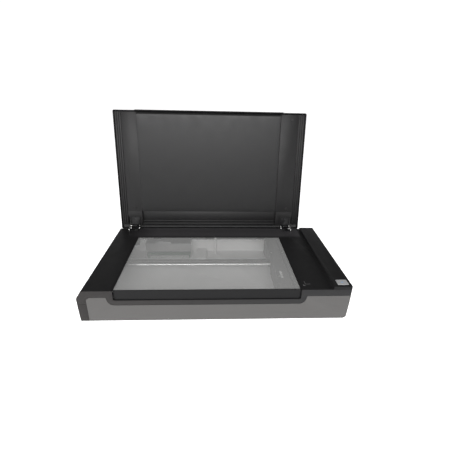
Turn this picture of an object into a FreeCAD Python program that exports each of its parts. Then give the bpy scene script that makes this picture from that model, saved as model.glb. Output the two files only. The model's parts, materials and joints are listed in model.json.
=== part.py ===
"""Large-format flatbed document scanner, modelled as separate pieces in one parametric document.

Millimetres. The origin is the centre of the footprint on the plane that the feet stand on.
+X points to the operator's right, +Y to the rear and +Z up. The lid stands open at rest.
Every size is a cell of the sheet "Sizes", and each piece is bound to those cells.
"""
import FreeCAD, Part
import math
import os
import Sketcher

Vector = FreeCAD.Vector

# Driving sizes in millimetres and degrees: name, value.
SIZES = {
    # case
    "case_width": 684, "case_depth": 374, "case_height": 90.5, "case_wall": 2.6,
    "shoulder_radius": 3, "shoulder_low_radius": 18,
    "shoulder_width": 14, "shoulder_drop": 21, "left_base_radius": 5, "right_base_radius": 12,
    "front_base_radius": 3, "rear_base_radius": 5, "front_top_radius": 1.6, "rear_top_radius": 3,
    "left_taper": 2.2, "right_taper": 4.4, "taper_height": 57,
    "front_left_radius": 1.6, "front_right_radius": 4, "rear_corner_radius": 18,
    "foot_height": 3, "foot_radius": 9, "foot_inset_side": 34, "foot_inset_end": 20,
    # parting line between the upper and the lower shell, seen from the front
    "seam_high": 71.5, "seam_low": 48.5, "seam_gap": 0.5, "seam_bend": 18, "seam_slope": 4.5,
    "seam_dip_margin": 14, "seam_top_bend": 3,
    "end_cap_width": 23.5, "end_cap_seam": 52.5, "end_cap_round": 11,
    # window, glass and the recess that the lid's lip closes into
    "window_left_margin": 90, "window_right_margin": 132, "window_rear_margin": 73.7,
    "glass_thickness": 3, "glass_overlap": 6, "glass_recess": 1.2, "fit_gap": 0.2,
    "window_bevel": 10, "window_step": 0.5,
    "recess_depth": 3.5, "recess_height": 27.5, "recess_round": 3.6, "recess_left_margin": 1.5,
    "recess_right_margin": 3, "strip_thickness": 2,
    "strip_foot": 8, "strip_ledge": 5,
    # console strip along the right side
    "console_width": 47.6, "console_rise": 9, "console_wall": 2.2, "console_bevel": 1.4,
    "console_edge_radius": 2.4, "console_rear_radius": 5, "console_setback": 9,
    "button_width": 28.4, "button_length": 22.8, "button_front_margin": 7.2, "button_side_margin": 8.2,
    "button_gap": 0.4, "button_proud": 0.9, "button_flange": 1.4,
    "button_skin": 2.4, "switch_height": 2.2, "lens_width": 6, "lens_length": 2.4,
    # lid
    "lid_right_margin": 49.6, "lid_front_margin": 1, "lid_thickness": 16, "lid_wall": 2.2, "lid_gap": 0.3,
    "lid_left_margin": 17.4, "lid_corner_radius": 5, "lid_edge_radius": 3,
    "lid_rear_overhang": 8.4, "lip_drop": 24, "lip_thickness": 2, "lip_end_gap": 0.8, "lid_slot_gap": 0.7,
    "mat_rear": 62, "mat_front_margin": 11.4,
    "mat_thickness": 0.8, "foam_thickness": 5, "liner_skin": 1.6, "liner_rear": 15,
    "liner_front_margin": 5.4, "liner_seam": 62, "flap_depth": 1.2, "rib_thickness": 1.6,
    "first_ridge": 5.4, "ridge_width": 4.4, "ridge_depth": 2.2, "groove_width": 2.2,
    "groove_depth": 6, "mat_gap": 1.4, "seam_line": 0.8, "hinge_notch_depth": 42,
    "hinge_notch_width": 40,
    "rib_first": 11.6, "rib_second": 22, "rear_panel_depth": 8, "rear_panel_start": 29,
    # hinges
    "lid_open_angle": 97.6, "hinge_setback": 7, "hinge_rise": 6, "hinge_margin": 45.5,
    "pin_radius": 2, "running_gap": 0.05, "arm_end_radius": 3.6, "barrel_radius": 3.7,
    "arm_thickness": 2.5, "arm_gap": 1, "lug_width": 10, "lug_offset": 9,
    "barrel_length": 14, "barrel_offset": -5, "leaf_thickness": 2, "leaf_width": 32,
    "post_width": 20, "post_depth": 10, "post_length": 50, "post_setback": 18, "post_gap": 0.4,
    "flange_size": 3.5, "flange_thickness": 2.2, "socket_wall": 3.6,
    # guide rod, rail, belt drive
    "rod_radius": 4, "rod_drop": 33.5, "rod_offset": 5, "rod_left_margin": 37,
    "rod_right_margin": 71,
    "mount_length": 10, "mount_width": 20, "rail_margin": 23, "rail_width": 8, "rail_height": 25,
    "belt_width": 6, "belt_thickness": 1.2, "pulley_radius": 5.7, "pulley_gap": 0.3,
    "pulley_offset": 14, "flange_radius": 8.2, "axle_radius": 2, "shaft_radius": 2.5,
    "motor_margin": 42, "idler_margin": 24, "motor_size": 42, "motor_height": 34, "motor_round": 4,
    # carriage
    "carriage_margin": 9, "carriage_width": 72, "carriage_front_margin": 9,
    "carriage_rear_margin": 11.7,
    "carriage_bottom": 34, "carriage_top": 85, "carriage_wall": 2.2, "cover_thickness": 2,
    "tunnel_front": 14, "tunnel_rear": 26, "tunnel_top": 68, "bush_radius": 7, "bush_length": 12,
    "scan_slot": 5, "lamp_radius": 1.5, "lamp_spread": 10, "mirror_thickness": 1.6, "mirror_half": 3.5,
    "lens_radius": 8, "lens_drop": 41.5,
    # electronics at the rear left, and the transport lock
    "board_margin": 107, "board_width": 150, "board_rear_margin": 9, "board_depth": 48,
    "board_height": 12, "board_thickness": 1.6, "usb_width": 12, "usb_height": 11,
    "usb_margin": 152, "jack_radius": 3.2, "jack_size": 11, "jack_margin": 192, "lock_margin": 57,
    "shield_drop": 31.5, "shield_skin": 0.8, "shield_rise": 7, "shield_step": 32,
    "shield_step_width": 52, "cable_width": 16, "cable_thickness": 0.4, "clamp_width": 33,
    "clamp_margin": 21,
    "lock_radius": 3, "lock_travel": 16,
    # fasteners
    "screw_radius": 1.5, "screw_head_radius": 3, "screw_head": 1.2, "screw_length": 14,
    "screw_gap": 0.1, "post_radius": 3.6,
}


class Size:
    """A length or angle that carries its sheet expression, so that sums of sizes stay bound."""

    def __init__(self, text, number):
        self.text = text
        self.number = number

    def __float__(self):
        return float(self.number)

    def __add__(self, other):
        other = as_size(other)
        return Size(f"({self.text} + {other.text})", self.number + other.number)

    def __sub__(self, other):
        other = as_size(other)
        return Size(f"({self.text} - {other.text})", self.number - other.number)

    def __mul__(self, other):
        other = as_size(other)
        return Size(f"({self.text} * {other.text})", self.number * other.number)

    def __truediv__(self, other):
        other = as_size(other)
        return Size(f"({self.text} / {other.text})", self.number / other.number)

    def __neg__(self):
        return Size(f"(0 - {self.text})", -self.number)

    __radd__ = __add__

    def __rsub__(self, other):
        return as_size(other) - self

    def __rmul__(self, other):
        return self * other


def as_size(value):
    """A bare number becomes a Size; a Size stays as it is."""
    return value if isinstance(value, Size) else Size(repr(value), value)


def turned(function_name, angle):
    """Sine or cosine of a Size in degrees, as a Size."""
    number = getattr(math, function_name)(math.radians(float(angle)))
    return Size(f"{function_name}({angle.text})", number)


class Cells:
    """The sheet's sizes, read as attributes, such as cell.case_width."""


def make_sheet(document):
    sheet = document.addObject("Spreadsheet::Sheet", "Sizes")
    cell = Cells()
    for row, (name, value) in enumerate(SIZES.items(), start=1):
        sheet.set(f"A{row}", name)
        sheet.set(f"B{row}", str(value))
        sheet.setAlias(f"B{row}", name)
        setattr(cell, name, Size(f"Sizes.{name}", float(value)))
    document.recompute()
    return cell


doc = FreeCAD.newDocument("flatbed_scanner")
cell = make_sheet(doc)
PIECES = {}

# Places that several pieces share, all worked out from the sheet.
base = cell.foot_height
deck = base + cell.case_height
left, right = -cell.case_width / 2, cell.case_width / 2
front, rear = -cell.case_depth / 2, cell.case_depth / 2
floor = base + cell.case_wall
ceiling = deck - cell.case_wall
window_left = left + cell.window_left_margin
window_right = right - cell.window_right_margin
strip_front = front + cell.recess_depth
window_front = strip_front + cell.strip_thickness
window_rear = rear - cell.window_rear_margin
recess_left = window_left - cell.recess_left_margin
recess_right = window_right + cell.recess_right_margin
recess_floor = deck - cell.recess_height
glass_top = deck - cell.glass_recess
glass_bottom = glass_top - cell.glass_thickness
console_left = right - cell.console_width
console_top = deck + cell.console_rise
axis_y = rear + cell.hinge_setback
axis_z = deck + cell.hinge_rise
lid_left = left + cell.lid_left_margin
lid_right = right - cell.lid_right_margin
lid_rear = axis_y + cell.lid_rear_overhang
lid_front = front + cell.lid_front_margin
rim = deck + cell.lid_gap
lid_top = rim + cell.lid_thickness
lid_inside = lid_top - cell.lid_wall
mat_left, mat_right = window_left, window_right
rod_z = deck - cell.rod_drop
rod_y = -cell.rod_offset
belt_low = rod_z - cell.belt_width / 2
belt_high = rod_z + cell.belt_width / 2
belt_inner = cell.pulley_radius + cell.pulley_gap
belt_outer = belt_inner + cell.belt_thickness
pulley_y = cell.pulley_offset
rod_left, rod_right = left + cell.rod_left_margin, right - cell.rod_right_margin
rail_y = front + cell.rail_margin
motor_x, idler_x = right - cell.motor_margin, left + cell.idler_margin
carriage_x = window_right - cell.carriage_margin
carriage_left = carriage_x - cell.carriage_width / 2
carriage_right = carriage_x + cell.carriage_width / 2
carriage_front = front + cell.carriage_front_margin
carriage_rear = window_rear + cell.carriage_rear_margin
usb_x, jack_x = left + cell.usb_margin, left + cell.jack_margin
lock_y = front + cell.lock_margin


# ---------------------------------------------------------------- building blocks

def bind(item, prop, value):
    item.setExpression(prop, as_size(value).text)


def place(item, x, y, z):
    for axis, value in zip("xyz", (x, y, z)):
        bind(item, f".Placement.Base.{axis}", value)


def box(name, x, y, z):
    """A block between two places on each axis."""
    item = doc.addObject("Part::Box", name)
    for prop, (low, high) in zip(("Length", "Width", "Height"), (x, y, z)):
        bind(item, prop, high - low)
    place(item, x[0], y[0], z[0])
    return item


def cylinder(name, axis, centre, radius, low, high):
    """A round bar along X, Y or Z; centre holds its places on the other two axes."""
    item = doc.addObject("Part::Cylinder", name)
    bind(item, "Radius", radius)
    bind(item, "Height", high - low)
    turns = {"X": (Vector(0, 1, 0), 90), "Y": (Vector(1, 0, 0), -90), "Z": (Vector(0, 0, 1), 0)}
    item.Placement = FreeCAD.Placement(Vector(), FreeCAD.Rotation(*turns[axis]))
    spot = list(centre)
    spot.insert("XYZ".index(axis), low)
    place(item, *spot)
    return item


def join(name, *shapes):
    item = doc.addObject("Part::MultiFuse", name)
    item.Shapes = list(shapes)
    return item


def group(name, *shapes):
    """Separate solids that share one node."""
    item = doc.addObject("Part::Compound", name)
    item.Links = list(shapes)
    return item


def cut(name, body, *tools):
    item = doc.addObject("Part::Cut", name)
    item.Base = body
    item.Tool = tools[0] if len(tools) == 1 else join(name + "_tools", *tools)
    return item


def common(name, *shapes):
    item = doc.addObject("Part::MultiCommon", name)
    item.Shapes = list(shapes)
    return item


def direction(start, end):
    length = math.dist(start, end)
    return (end[0] - start[0]) / length, (end[1] - start[1]) / length


def corner_arc(before, corner, after, radius):
    """Where a corner's arc starts and ends, its centre, and +1 for a left turn or -1."""
    way_in = direction(before, corner)
    way_out = direction(corner, after)
    cross = way_in[0] * way_out[1] - way_in[1] * way_out[0]
    dot = way_in[0] * way_out[0] + way_in[1] * way_out[1]
    turn = math.atan2(cross, dot)
    side = 1 if turn > 0 else -1
    reach = radius * math.tan(abs(turn) / 2)
    start = (corner[0] - way_in[0] * reach, corner[1] - way_in[1] * reach)
    end = (corner[0] + way_out[0] * reach, corner[1] + way_out[1] * reach)
    centre = (start[0] - way_in[1] * radius * side, start[1] + way_in[0] * radius * side)
    return start, end, centre, side


def add_arc(sketch, corner, radius, line_in, line_out, point):
    """Round one corner with an arc tangent to both lines, its radius bound to the sheet."""
    start, end, centre, side = corner
    first, last = (start, end) if side > 0 else (end, start)
    angles = [math.atan2(p[1] - centre[1], p[0] - centre[0]) for p in (first, last)]
    circle = Part.Circle(Vector(*centre, 0), Vector(0, 0, 1), float(radius))
    arc = sketch.addGeometry(Part.ArcOfCircle(circle, *angles), False)
    head, tail = (1, 2) if side > 0 else (2, 1)
    for rule in (("PointOnObject", point, 1, line_in), ("PointOnObject", point, 1, line_out),
                 ("Tangent", line_in, 2, arc, head), ("Tangent", arc, tail, line_out, 1)):
        sketch.addConstraint(Sketcher.Constraint(*rule))
    index = sketch.addConstraint(Sketcher.Constraint("Radius", arc, float(radius)))
    bind(sketch, f"Constraints[{index}]", radius)


def draw(sketch, corners):
    """A closed outline in a sketch. Each corner is (u, v, radius), in anticlockwise order."""
    spots = [(float(u), float(v)) for u, v, _ in corners]
    count = len(corners)
    arcs = [corner_arc(spots[i - 1], spots[i], spots[(i + 1) % count], float(corners[i][2]))
            for i in range(count)]
    for i in range(count):
        start, end = arcs[i][1], arcs[(i + 1) % count][0]
        sketch.addGeometry(Part.LineSegment(Vector(*start, 0), Vector(*end, 0)), False)
    for i, (u, v, radius) in enumerate(corners):
        point = sketch.addGeometry(Part.Point(Vector(*spots[i], 0)), True)
        for kind, value in (("DistanceX", u), ("DistanceY", v)):
            index = sketch.addConstraint(Sketcher.Constraint(kind, point, 1, float(value)))
            bind(sketch, f"Constraints[{index}]", value)
        line_in = (i - 1) % count
        if float(radius):
            add_arc(sketch, arcs[i], as_size(radius), line_in, i, point)
            continue
        sketch.addConstraint(Sketcher.Constraint("Coincident", i, 1, point, 1))
        sketch.addConstraint(Sketcher.Constraint("Coincident", line_in, 2, point, 1))


def prism(name, plane, corners, low, high):
    """A body padded from an outline on the XY, XZ or YZ plane, between two places on its normal."""
    body = doc.addObject("PartDesign::Body", name)
    sketch = body.newObject("Sketcher::SketchObject", name + "_outline")
    support = [item for item in body.Origin.OriginFeatures if item.Role == plane + "_Plane"]
    sketch.AttachmentSupport = [(support[0], "")]
    sketch.MapMode = "FlatFace"
    # The XZ plane's normal points to -Y, so its pads start at the rear place.
    bind(sketch, "AttachmentOffset.Base.z", -as_size(high) if plane == "XZ" else low)
    draw(sketch, corners)
    pad = body.newObject("PartDesign::Pad", name + "_pad")
    pad.Profile = sketch
    bind(pad, "Length", high - low)
    return body


def keep(name, item):
    """Name a finished piece: its label is its node's name."""
    item.Label = name
    PIECES[name] = item
    return item


def less(radius, inset):
    """A radius inside a wall, or a sharp corner where the wall takes all of it."""
    return radius - inset if float(radius) - float(inset) > 0.2 else as_size(0)


# ---------------------------------------------------------------- case shells

def case_block(name, inset):
    """The whole case's outer form, or its hollow when inset is the wall: three outlines crossed."""
    inset = as_size(inset)
    low, high = base + inset, deck - inset
    west, east = left + inset, right - inset
    south, north = front + inset, rear - inset
    bend = base + cell.taper_height
    ahead = prism(name + "_front", "XZ", [
        (west + cell.left_taper, low, less(cell.left_base_radius, inset)),
        (east - cell.right_taper, low, less(cell.right_base_radius, inset)),
        (east, base + cell.seam_high, 0),
        (east, high, 0),
        (west + cell.shoulder_width, high, less(cell.shoulder_radius, inset)),
        (west, high - cell.shoulder_drop, less(cell.shoulder_low_radius, inset)),
        (west, bend, 0)], south, north)
    aside = prism(name + "_side", "YZ", [
        (south, low, less(cell.front_base_radius, inset)),
        (north, low, less(cell.rear_base_radius, inset)),
        (north, high, less(cell.rear_top_radius, inset)),
        (south, high, less(cell.front_top_radius, inset))], west, east)
    above = prism(name + "_plan", "XY", [
        (west, south, less(cell.front_left_radius, inset)),
        (east, south, less(cell.front_right_radius, inset)),
        (east, north, less(cell.rear_corner_radius, inset)),
        (west, north, less(cell.rear_corner_radius, inset))], low, high)
    return common(name, ahead, aside, above)


def case_shell(name):
    return cut(name, case_block(name + "_outer", 0), case_block(name + "_hollow", cell.case_wall))


def seam_region(name, gap):
    """Everything below the parting line: high at both ends, dipping under the lid's recess."""
    gap = as_size(gap)
    high = base + cell.seam_high + gap
    low = base + cell.seam_low + gap
    dip_left = window_left - cell.seam_dip_margin
    dip_right = window_right + cell.seam_dip_margin
    cap = left + cell.end_cap_width - gap
    return prism(name, "XZ", [
        (cap, base - 10, 0), (right + 10, base - 10, 0), (right + 10, high, 0),
        (dip_right + cell.seam_slope, high, cell.seam_top_bend),
        (dip_right, low, cell.seam_bend), (dip_left, low, cell.seam_bend),
        (dip_left - cell.seam_slope, high, cell.seam_top_bend),
        (cap, high, cell.end_cap_round)], front - 1, rear + 1)


def screw_post_places():
    """Corner posts that carry the upper shell, clear of the carriage and the hinge sockets."""
    west, east = left + 30, right - 23
    return [(west, front + 22), (east, front + 22), (west, rear - 20), (east, rear - 20),
            (as_size(0), rear - 20)]


def make_lower_case():
    shell = common("lower_shell", case_shell("lower_case_shell"), seam_region("lower_region", 0))
    posts = [cylinder(f"screw_post_{i}", "Z", spot, cell.post_radius, floor - 1, ceiling)
             for i, spot in enumerate(screw_post_places())]
    bores = [cylinder(f"post_bore_{i}", "Z", spot, cell.screw_radius + cell.screw_gap, base - 1,
                      base + cell.screw_length + 4) for i, spot in enumerate(screw_post_places())]
    sinks = [cylinder(f"post_sink_{i}", "Z", spot, cell.screw_head_radius + 0.5, base - 1,
                      base + cell.screw_head + 0.2) for i, spot in enumerate(screw_post_places())]
    usb = box("usb_cutout", socket_x(usb_x, cell.usb_width), (rear - 6, rear + 1),
              socket_z(cell.usb_height))
    jack = box("jack_cutout", socket_x(jack_x, cell.jack_size), (rear - 6, rear + 1),
               socket_z(cell.jack_size))
    slot = box("lock_slot", (carriage_x - 4, carriage_x + 4),
               (lock_y - 6, lock_y + cell.lock_travel + 6), (base - 1, floor + 1))
    whole = join("lower_with_posts", shell, *posts)
    keep("lower_case", cut("lower_case_body", whole, *bores, *sinks, usb, jack, slot))


def make_left_end_cap():
    """The dark lower corner piece at the left end."""
    region = box("cap_region", (left - 1, left + cell.end_cap_width - cell.seam_gap),
                 (front - 1, rear + 1), (base - 1, base + cell.end_cap_seam))
    keep("left_end_cap", common("end_cap_body", case_shell("end_cap_shell"), region))


def make_upper_case():
    below = seam_region("upper_region", cell.seam_gap)
    cap = box("upper_cap_region", (left - 1, left + cell.end_cap_width + 1),
              (front - 1, rear + 1), (base - 1, base + cell.end_cap_seam + cell.seam_gap))
    window = box("window", (window_left, window_right), (window_front, window_rear),
                 (ceiling - 10, deck + 1))
    bevel, brink = cell.window_bevel, glass_top + cell.window_step
    slope = common("window_slope", prism("window_slope_front", "XZ", [
        (window_left, brink, 0), (window_right, brink, 0), (window_right + bevel, deck, 0),
        (window_right + bevel, deck + 1, 0), (window_left - bevel, deck + 1, 0),
        (window_left - bevel, deck, 0)], window_front, window_rear + bevel),
        prism("window_slope_side", "YZ", [
            (window_front, brink, 0), (window_rear, brink, 0), (window_rear + bevel, deck, 0),
            (window_rear + bevel, deck + 1, 0), (window_front, deck + 1, 0)],
            window_left - bevel, window_right + bevel))
    seat = cell.glass_overlap + cell.fit_gap
    rabbet = box("glass_rabbet", (window_left - seat, window_right + seat),
                 (window_front, window_rear + seat), (ceiling - 1, glass_top))
    recess = prism("lip_recess", "XZ", [
        (recess_left, recess_floor, cell.recess_round),
        (recess_right, recess_floor, 4),
        (recess_right, deck + 1, 0), (recess_left, deck + 1, 0)],
        front - 1, window_front)
    holes = [box(f"hinge_hole_{side}", *post_space(side, cell.post_gap), (ceiling - 1, deck + 1))
             for side in HINGES]
    keep("upper_case", cut("upper_case_body", case_shell("upper_case_shell"), below, cap, window,
                           slope, rabbet, recess, *holes))


def make_front_trim_strip():
    """The gloss strip behind the lip recess, which holds the glass's front edge."""
    x = (recess_left + cell.fit_gap, recess_right - cell.fit_gap)
    plate = box("strip_plate", x, (strip_front, window_front), (recess_floor - cell.strip_foot, deck))
    foot = box("strip_foot_bar", x, (front + cell.case_wall, window_front),
               (recess_floor - cell.strip_foot, recess_floor))
    ledge = box("strip_ledge_bar", x, (strip_front, window_front + cell.strip_ledge),
                (glass_bottom - 2, glass_bottom))
    keep("front_trim_strip", join("trim_strip_body", plate, foot, ledge))


def make_glass():
    reach = cell.glass_overlap
    keep("platen_glass", box("glass_plate", (window_left - reach, window_right + reach),
                             (window_front + cell.fit_gap, window_rear + reach),
                             (glass_bottom, glass_top)))
    keep("calibration_strip", box("white_strip", (window_right + 0.5, window_right + reach),
                                  (window_front + 8, window_rear), (glass_bottom - 0.3, glass_bottom)))
    clips = []
    for i, x in enumerate((window_left + 60, window_left + 230, window_right - 60)):
        outer = window_rear + cell.glass_overlap + 1
        under = box(f"clip_under_{i}", (x - 12, x + 12), (outer - 9, outer + 9),
                    (glass_bottom - 2.5, glass_bottom))
        riser = box(f"clip_riser_{i}", (x - 12, x + 12), (outer, outer + 9),
                    (glass_bottom - 2.5, ceiling))
        clips.append(join(f"clip_{i}", under, riser))
    keep("glass_clips", group("glass_clip_set", *clips))


def make_feet():
    feet = []
    for i, x in enumerate((left + cell.foot_inset_side, right - cell.foot_inset_side)):
        for j, y in enumerate((front + cell.foot_inset_end, rear - cell.foot_inset_end - 6)):
            feet.append(cylinder(f"foot_{i}{j}", "Z", (x, y), cell.foot_radius, as_size(0), base))
    middle = (as_size(0), as_size(0))
    feet.append(cylinder("foot_middle", "Z", middle, cell.foot_radius, as_size(0), base))
    keep("rubber_feet", group("foot_set", *feet))


def make_case_screws():
    screws = []
    for i, spot in enumerate(screw_post_places()):
        top = base + cell.screw_head
        head = cylinder(f"case_head_{i}", "Z", spot, cell.screw_head_radius, base + 0.2, top + 0.2)
        shank = cylinder(f"case_shank_{i}", "Z", spot, cell.screw_radius, top - 0.5,
                         base + cell.screw_length)
        screws.append(join(f"case_screw_{i}", head, shank))
    keep("case_screws", group("case_screw_set", *screws))


# ---------------------------------------------------------------- console and button

button_right = right - cell.button_side_margin
button_left = button_right - cell.button_width
button_low = front + cell.button_front_margin
button_high = button_low + cell.button_length
board_top = deck + 3.1
switch_top = board_top + cell.switch_height
cap_bottom = console_top - cell.console_wall - cell.button_gap - 1.1


def console_block(name, inset):
    inset = as_size(inset)
    top = console_top - inset
    west, east, south, north = console_left + inset, right - inset, front + inset, rear - inset
    bevel = cell.console_bevel
    ahead = prism(name + "_front", "XZ", [
        (west - bevel, deck, 0), (east, deck, 0), (east, top, less(cell.console_edge_radius, inset)),
        (west, top, less(cell.console_edge_radius, inset + 1)), (west, deck + bevel, 0)],
        south, north)
    aside = prism(name + "_side", "YZ", [
        (south, deck, 0), (north - cell.console_setback, deck, 0),
        (north - cell.console_setback, top, less(cell.console_rear_radius, inset)),
        (south, top, less(cell.console_edge_radius, inset))], west - bevel, east)
    above = prism(name + "_plan", "XY", [
        (west - bevel, south, 0), (east, south, less(cell.front_right_radius, inset)),
        (east, north, less(cell.rear_corner_radius, inset)), (west - bevel, north, 0)],
        deck, top)
    return common(name, ahead, aside, above)


def make_console():
    outer = console_block("console_outer", 0)
    hollow = box("console_hollow", (console_left + 3, right - 3), (front + 3, rear - 24),
                 (deck - 1, console_top - cell.console_wall))
    opening = box("button_opening", (button_left, button_right), (button_low, button_high),
                  (deck, console_top + 1))
    keep("console_cover", cut("console_body", outer, hollow, opening))
    posts = [cylinder(f"board_post_{i}", "Z", (x, y), as_size(2), deck, board_top - 1.6)
             for i, (x, y) in enumerate(((button_left + 2, button_low + 2),
                                         (button_right - 2, button_high + 4)))]
    board = box("button_pcb", (button_left - 2, button_right + 2), (button_low, button_high + 8),
                (board_top - 1.6, board_top))
    keep("button_board", join("button_board_body", board, *posts))
    x, y = (button_left + button_right) / 2, (button_low + button_high) / 2
    case = box("switch_case", (x - 3, x + 3), (y - 3, y + 3), (board_top, switch_top - 0.6))
    stem = cylinder("switch_stem", "Z", (x, y), as_size(1.6), board_top, switch_top)
    keep("tact_switch", join("tact_switch_body", case, stem))


def make_button():
    gap, top = cell.button_gap, console_top + cell.button_proud
    x = (button_left + gap, button_right - gap)
    y = (button_low + gap, button_high - gap)
    flange = cell.button_flange
    block = prism("button_block", "XY", [
        (x[0], y[0], 1.2), (x[1], y[0], 1.2), (x[1], y[1], 1.2), (x[0], y[1], 1.2)],
        cap_bottom, top)
    rim_bar = box("button_rim", (x[0] - flange, x[1] + flange), (y[0] - flange, y[1] + flange),
                  (cap_bottom, cap_bottom + 1.1))
    hollow = box("button_hollow", (x[0] + 2, x[1] - 2), (y[0] + 2, y[1] - 2),
                 (cap_bottom - 1, top - cell.button_skin))
    middle = ((x[0] + x[1]) / 2, (y[0] + y[1]) / 2)
    lens_x = (middle[0] - cell.lens_width / 2, middle[0] + cell.lens_width / 2)
    lens_y = (middle[1] - cell.lens_length / 2, middle[1] + cell.lens_length / 2)
    slot = box("lens_slot", lens_x, lens_y, (cap_bottom, top + 1))
    keep("button_cap", cut("button_cap_body", join("button_solid", block, rim_bar), hollow, slot))
    keep("button_lens", box("lens_bar", lens_x, lens_y, (top - cell.button_skin, top + 0.1)))


# ---------------------------------------------------------------- hinges

# Side of the hinge: its middle, and the way from the middle towards the lid's inside.
HINGES = {"left": (lid_left + cell.hinge_margin, 1), "right": (lid_right - cell.hinge_margin, -1)}
post_rear = axis_y - cell.post_setback
arm_middle = cell.post_width / 2 + cell.flange_size + cell.arm_gap + cell.arm_thickness / 2
post_front = post_rear - cell.post_depth


def post_space(side, gap):
    middle = HINGES[side][0]
    half = cell.post_width / 2
    return ((middle - half - gap, middle + half + gap), (post_front - gap, post_rear + gap))


def span(middle, way, offset, width):
    """A stretch across a hinge; a positive offset lies towards the lid's inside."""
    centre = middle + offset * way
    return centre - width / 2, centre + width / 2


def hinge_arm(name, x):
    """A flat arm from the post's top back to the pin, with a round end and a bore for the pin."""
    end = cell.arm_end_radius
    body = prism(name + "_plate", "YZ", [
        (post_front, rim + 0.2, 0.6), (post_rear + 4, rim + 0.2, 3),
        (axis_y - 8, axis_z - end + 0.7, 3), (axis_y, axis_z - end + 0.7, 0),
        (axis_y, axis_z + end, 0), (axis_y - 8, axis_z + end, 6),
        (post_front, rim + 4.2, 2)], *x)
    nose = cylinder(name + "_nose", "X", (axis_y, axis_z), end, *x)
    bore = cylinder(name + "_bore", "X", (axis_y, axis_z), cell.pin_radius + 0.02,
                    x[0] - 1, x[1] + 1)
    return cut(name + "_body", join(name + "_solid", body, nose), bore)


def make_hinge_base(side):
    """The lifting post with its black lug, the steel arm beside it, and the pin across both."""
    middle, way = HINGES[side]
    post = box(f"post_bar_{side}", *post_space(side, 0), (deck - cell.post_length, rim + 0.4))
    wide = cell.flange_size
    flange = box(f"post_flange_{side}", span(middle, way, 0, cell.post_width + 2 * wide),
                 (post_front - wide, post_rear + wide), (rim, rim + cell.flange_thickness))
    lug = hinge_arm(f"lug_{side}", span(middle, way, cell.lug_offset, cell.lug_width))
    keep(f"hinge_post_{side}", join(f"hinge_post_body_{side}", post, flange, lug))
    arm_x = span(middle, way, -arm_middle, cell.arm_thickness)
    keep(f"hinge_arm_{side}", hinge_arm(f"arm_{side}", arm_x))
    pin_x = span(middle, way, -1.5, arm_middle * 2 + 2)
    keep(f"hinge_pin_{side}", cylinder(f"pin_{side}", "X", (axis_y, axis_z), cell.pin_radius, *pin_x))
    hole_x, hole_y = post_space(side, cell.post_gap)
    wall = cell.socket_wall
    low = deck - cell.post_length - wall
    outer = box(f"socket_outer_{side}", (hole_x[0] - wall, hole_x[1] + wall),
                (hole_y[0] - wall, hole_y[1] + wall), (low, ceiling))
    inner = box(f"socket_inner_{side}", hole_x, hole_y, (low + wall - 0.4, ceiling + 1))
    keep(f"hinge_socket_{side}", cut(f"hinge_socket_body_{side}", outer, inner))


def make_hinge_leaf(side):
    """The leaf on the lid: a barrel round the pin, a web and a plate screwed under the lid's top."""
    middle, way = HINGES[side]
    x = span(middle, way, cell.barrel_offset, cell.barrel_length)
    barrel = cylinder(f"barrel_{side}", "X", (axis_y, axis_z), cell.barrel_radius, *x)
    web = box(f"leaf_web_{side}", x, (axis_y - cell.barrel_radius, axis_y + 2),
              (axis_z, lid_inside))
    plate = box(f"leaf_plate_{side}", span(middle, way, 0, cell.leaf_width),
                (axis_y - 46, axis_y + 2), (lid_inside - cell.leaf_thickness, lid_inside))
    bore = cylinder(f"barrel_bore_{side}", "X", (axis_y, axis_z),
                    cell.pin_radius + cell.running_gap, x[0] - 1, x[1] + 1)
    open_lid(f"hinge_leaf_{side}", cut(f"leaf_body_{side}",
                                       join(f"leaf_solid_{side}", barrel, web, plate), bore))


def open_lid(name, item):
    """Lid pieces are drawn closed and turned open about the hinge axis. The piece is a body or a
    boolean, because the turn takes the place of its own placement."""
    keep(name, item)
    angle = cell.lid_open_angle
    sine, cosine = turned("sin", angle), turned("cos", angle)
    item.Placement = FreeCAD.Placement(Vector(), FreeCAD.Rotation(Vector(1, 0, 0), -float(angle)))
    bind(item, ".Placement.Rotation.Angle", angle)
    # the bound angle counts up from zero, so the axis is turned round to match
    item.Placement.Rotation.Axis = Vector(-1, 0, 0)
    place(item, as_size(0), axis_y - axis_y * cosine - axis_z * sine,
          axis_z + axis_y * sine - axis_z * cosine)


# ---------------------------------------------------------------- lid

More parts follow.
